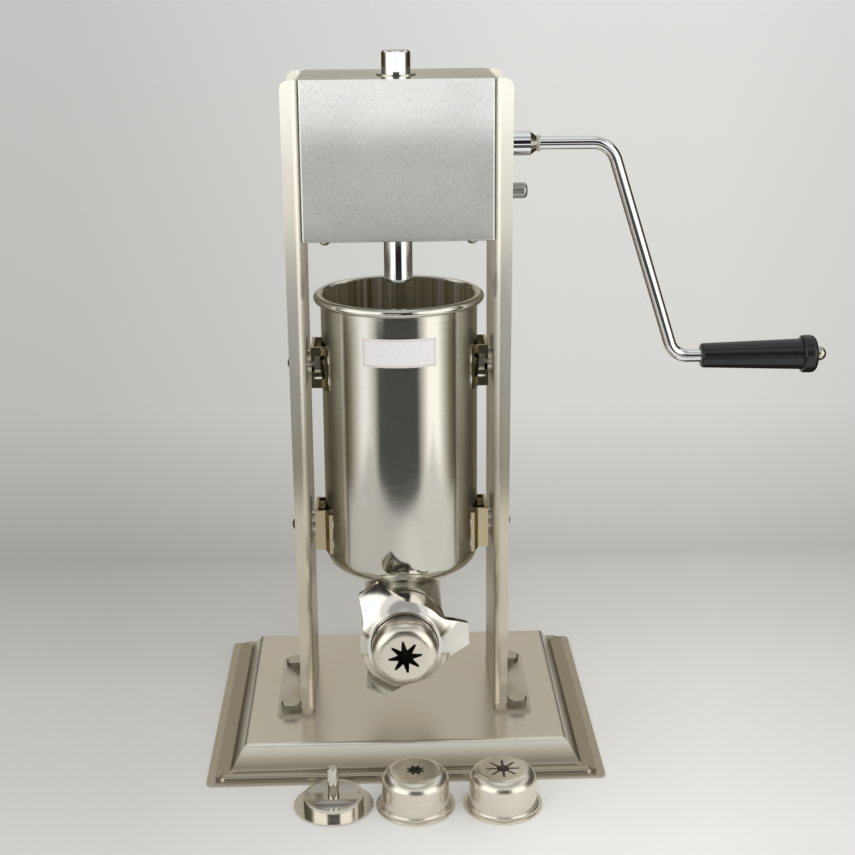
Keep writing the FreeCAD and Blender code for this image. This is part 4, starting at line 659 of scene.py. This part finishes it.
def paint_shade_by_height(material, stops):
    """Multiply painted shade and light into a finish by height; a stop of 1 stands for TONE_HEIGHT."""
    tree = material.node_tree
    shader = tree.nodes["Principled BSDF"]
    height = work(tree, "DIVIDE", split(tree, place_on(tree))[2], TONE_HEIGHT)
    first = shader.inputs["Base Color"].links[0].from_socket
    both = blend(tree, 1.0, first, ramp(tree, height, stops), way="MULTIPLY")
    tree.links.new(both, shader.inputs["Base Color"])


def dress_feet():
    tree = upright_steel.node_tree
    height = split(tree, place_on(tree))[2]
    foot = work(tree, "SUBTRACT", 1.0, fade(tree, height, FOOT_TOP, FOOT_TOP_END))
    second_finish(upright_steel, foot, FOOT_COLOUR, FOOT_METAL)


paint_shade_by_height(base_steel, SKIRT_PAINTED_SHADE_AND_HIGHLIGHT)
paint_shade_by_height(upright_steel, UPRIGHT_PAINTED_SHADE_AND_LIGHT)
dress_feet()
print("tones by height on", base_steel.name, "and", upright_steel.name)

# %% [markdown]
# A white sticker is wrapped round the front of the barrel, left blank here, with a thin pale red line
# near its edge. It could be a flat plane bent by a modifier, but a grid laid straight on the cylinder
# keeps its edges crisp and lets the line be a ring of faces with a colour of its own. All its sizes
# are in millimetres, and those across it are measured along the paper.

# %% Grid of the sticker
MILLIMETRE = 0.001
STICKER_FRONT, STICKER_BACK = 55.15, 55.03
STICKER_LEFT, STICKER_RIGHT = -26.5, 25.2
STICKER_LOW, STICKER_HIGH = 281.5, 301.2
LINE_START, LINE_END = 0.9, 1.4
STEPS_ACROSS, STEPS_UP = 24, 6


def spaced(low, high, count):
    """Grid places from low to high, with the two edges of the printed line at each end."""
    step = (high - low - 2 * LINE_END) / count
    inner = [low + LINE_END + step * number for number in range(count + 1)]
    return [low, low + LINE_START] + inner + [high - LINE_START, high]


def sticker_points(across, up):
    """The points of the front skin, row by row, and then those of the back skin."""
    points = []
    for radius in (STICKER_FRONT, STICKER_BACK):
        for height in up:
            for place in across:
                turn = place / STICKER_FRONT
                points.append((radius * math.sin(turn) * MILLIMETRE,
                               AXIS[1] - radius * math.cos(turn) * MILLIMETRE, height * MILLIMETRE))
    return points


across = spaced(STICKER_LEFT, STICKER_RIGHT, STEPS_ACROSS)
up = spaced(STICKER_LOW, STICKER_HIGH, STEPS_UP)
print("sticker grid", len(across), "by", len(up), "points")

# %% [markdown]
# The faces join the grid's points: a front skin, a back skin that looks at the barrel, and a strip
# round the edge that closes the paper. A face between the line's two edges belongs to the line.

# %% Faces of the sticker


def in_line(row, column, rows, columns):
    """Whether a face of the grid lies in the printed line."""
    level = row in (1, rows - 3) and 0 < column < columns - 2
    upright = column in (1, columns - 3) and 0 < row < rows - 2
    return level or upright


def border(rows, columns):
    """The points round the grid's edge, in one round."""
    low = list(range(columns))
    right = [row * columns + columns - 1 for row in range(1, rows)]
    high = [(rows - 1) * columns + column for column in range(columns - 2, -1, -1)]
    left = [row * columns for row in range(rows - 2, 0, -1)]
    return low + right + high + left


def sticker_faces(rows, columns):
    """The faces of both skins and of the edge, and for each one whether it is printed."""
    faces, printed = [], []
    back = columns * rows
    for row in range(rows - 1):
        for column in range(columns - 1):
            low = row * columns + column
            high = low + columns
            faces.append((low, low + 1, high + 1, high))
            printed.append(in_line(row, column, rows, columns))
            faces.append((back + high, back + high + 1, back + low + 1, back + low))
            printed.append(False)
    ring = border(rows, columns)
    for first, second in zip(ring, ring[1:] + ring[:1]):
        faces.append((second, first, back + first, back + second))
        printed.append(False)
    return faces, printed


faces, printed = sticker_faces(len(up), len(across))
print("sticker faces", len(faces), "of which printed", sum(printed))

# %% [markdown]
# Paper and line are two printed finishes of the same gloss. The faces are shaded smooth, so the
# sticker curves with the barrel, and it stays with the barrel, which never moves.

# %% Blank sticker on the barrel


def shade_smooth(piece):
    for face in piece.data.polygons:
        face.use_smooth = True


def make_sticker():
    paper = moulded("sticker_paper", srgb(246, 244, 246), 0.5, speckle=2500.0)
    line = moulded("sticker_line", srgb(236, 190, 188), 0.5, speckle=2500.0)
    sticker = make_mesh("blank_sticker", sticker_points(across, up), faces, paper, line)
    for face, in_print in zip(sticker.data.polygons, printed):
        face.material_index = 1 if in_print else 0
    shade_smooth(sticker)
    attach(sticker, "root")
    return sticker


sticker = make_sticker()
print("sticker", len(sticker.data.vertices), "points")

# %% [markdown]
# Thread and welds are all the same kind of form: a small section carried along a path, so that its
# rings of points follow one another. A curve with a bevel makes such a form too, but it can't swell
# and shrink as freely. This helper lays faces from each ring to the next, and at the ends it either
# joins the last ring to the first or closes both with a cap.

# %% Skin over rings of points


def skin(section, rings, first=0, closed=False):
    """Faces over rings of section points each, counted from the point first."""
    skins = []
    for ring in range(rings if closed else rings - 1):
        low = first + ring * section
        high = first + (ring + 1) % rings * section
        for place in range(section):
            after = (place + 1) % section
            skins.append((low + place, low + after, high + after, high + place))
    if not closed:
        last = first + (rings - 1) * section
        skins.append(tuple(first + place for place in reversed(range(section))))
        skins.append(tuple(last + place for place in range(section)))
    return skins


print("two rings of four points make", len(skin(4, 2)), "faces")

# %% [markdown]
# The thread of the spout's collar is a ridge that winds round it, and it shows when the wing nut is
# unscrewed. A tube swept along a helix would do, but rings worked out from the angle give the thread
# its own rounded section and let it fade out at both ends. Its sizes are in millimetres.

# %% Thread on the spout
THREAD_ROOT, THREAD_LIFT, THREAD_HEIGHT = 26.95, 0.03, 0.28
THREAD_PITCH = 2.0
THREAD_START, THREAD_END, THREAD_MARGIN = 16.6, 33.2, 0.7
THREAD_SECTION = [(-0.62, 0.0), (-0.3, 0.8), (0.0, 1.0), (0.3, 0.8), (0.62, 0.0)]
STEPS_PER_TURN, FADING_STEPS = 72, 30
SPOUT_HEIGHT = 97.0


def thread_points(count):
    """Rings of points along the helix; the ridge swells at its start and fades at its end."""
    points = []
    for number in range(count + 1):
        angle = 2 * math.pi * number / STEPS_PER_TURN
        along = THREAD_START + THREAD_MARGIN + THREAD_PITCH * number / STEPS_PER_TURN
        swell = min(1.0, number / FADING_STEPS, (count - number) / FADING_STEPS)
        for shift, share in THREAD_SECTION:
            rise = THREAD_LIFT + (THREAD_HEIGHT - THREAD_LIFT) * share
            radius = THREAD_ROOT + rise * swell
            points.append((radius * math.cos(angle) * MILLIMETRE, (along + shift) * MILLIMETRE,
                           (SPOUT_HEIGHT + radius * math.sin(angle)) * MILLIMETRE))
    return points


def make_thread():
    turns = (THREAD_END - THREAD_START - 2 * THREAD_MARGIN) / THREAD_PITCH
    count = int(turns * STEPS_PER_TURN)
    ridges = skin(len(THREAD_SECTION), count + 1)
    thread = make_mesh("spout_thread", thread_points(count), ridges, fastener_steel)
    shade_smooth(thread)
    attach(thread, "root")
    return thread


thread = make_thread()
print("thread", len(thread.data.vertices), "points")

# %% [markdown]
# The crank's arm is welded into its socket. A weld is a ring of overlapping drops of metal, so a ring
# whose section swells and shrinks as it goes round looks right, and it stays one closed skin. Balls
# set side by side would show a seam between each two. The neck's place is in metres, as in the frame,
# and the sizes of the drops are in millimetres.

# %% Weld at the crank's neck
NECK = Vector((0.0987, 0.117, 0.4229))
NECK_RADIUS = 4.75
DROPS = 13
WELD_RINGS, WELD_SECTION = 130, 12
WELD_THIN, WELD_SWELL, WELD_LEAN, WELD_WIDTH = 0.55, 0.45, 0.28, 1.25


def weld_points():
    """Rings of points round the neck, thick in the middle of each drop."""
    points = []
    for number in range(WELD_RINGS):
        angle = 2 * math.pi * number / WELD_RINGS
        size = WELD_THIN + WELD_SWELL * abs(math.sin(angle * DROPS / 2))
        lean = WELD_LEAN * math.sin(angle * DROPS)
        for place in range(WELD_SECTION):
            turn = 2 * math.pi * place / WELD_SECTION
            radius = NECK_RADIUS + size * math.cos(turn)
            along = WELD_WIDTH * size * math.sin(turn) + lean
            points.append((NECK.x + along * MILLIMETRE, NECK.y + radius * math.cos(angle) * MILLIMETRE,
                           NECK.z + radius * math.sin(angle) * MILLIMETRE))
    return points


def make_neck_weld():
    weld_metal = steel("weld_metal", srgb(222, 218, 208), 0.16, tone=0.12, cloud=900.0)
    weld = make_mesh("neck_weld", weld_points(), skin(WELD_SECTION, WELD_RINGS, closed=True), weld_metal)
    shade_smooth(weld)
    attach(weld, "crank")
    return weld


weld = make_neck_weld()
print("weld ring of", DROPS, "drops")

# %% [markdown]
# The four brackets are tacked to the barrel with short welds beside their wings. Balls pushed into
# the corner would do from afar, but a rod whose thickness ripples along its length shows the drops.
# The wing's corner gives the angle at which a tack sits, and a small gap brings it beside the wing.

# %% Tack welds beside the brackets
BARREL_OUTSIDE, WING_CORNER = 55.0, 24.0
TACK_REACH, TACK_GAP = 55.1, 0.012
TACK_ANGLE = math.asin(WING_CORNER / BARREL_OUTSIDE) + TACK_GAP
TACK_LENGTH, TACK_RADIUS = 6.5, 0.95
TACK_HEIGHTS = (143.5, 158.5, 264.5, 279.5)
TACK_STEPS, TACK_SECTION = 26, 10
TACK_DROPS, TACK_RIPPLE, TACK_ROUNDING = 5, 0.2, 0.35


def tack_points(side, along, height):
    """Points of one tack: rings of points whose size ripples like drops set one on another."""
    points = []
    x = side * TACK_REACH * math.cos(TACK_ANGLE)
    y = AXIS[1] / MILLIMETRE + along * TACK_REACH * math.sin(TACK_ANGLE)
    for number in range(1, TACK_STEPS):
        share = number / TACK_STEPS
        drop = 1 - TACK_RIPPLE + TACK_RIPPLE * abs(math.sin(share * math.pi * TACK_DROPS))
        size = TACK_RADIUS * drop * math.sin(math.pi * share) ** TACK_ROUNDING
        z = height + (share - 0.5) * TACK_LENGTH
        for place in range(TACK_SECTION):
            turn = 2 * math.pi * place / TACK_SECTION
            points.append(((x + size * math.cos(turn)) * MILLIMETRE,
                           (y + size * math.sin(turn)) * MILLIMETRE, z * MILLIMETRE))
    return points


def make_tacks():
    points, skins = [], []
    for side in (-1, 1):
        for along in (-1, 1):
            for height in TACK_HEIGHTS:
                skins += skin(TACK_SECTION, TACK_STEPS - 1, first=len(points))
                points += tack_points(side, along, height)
    tacks = make_mesh("bracket_tacks", points, skins, weld.data.materials[0])
    shade_smooth(tacks)
    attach(tacks, "root")
    return tacks


tacks = make_tacks()
print("tack welds", 4 * len(TACK_HEIGHTS))
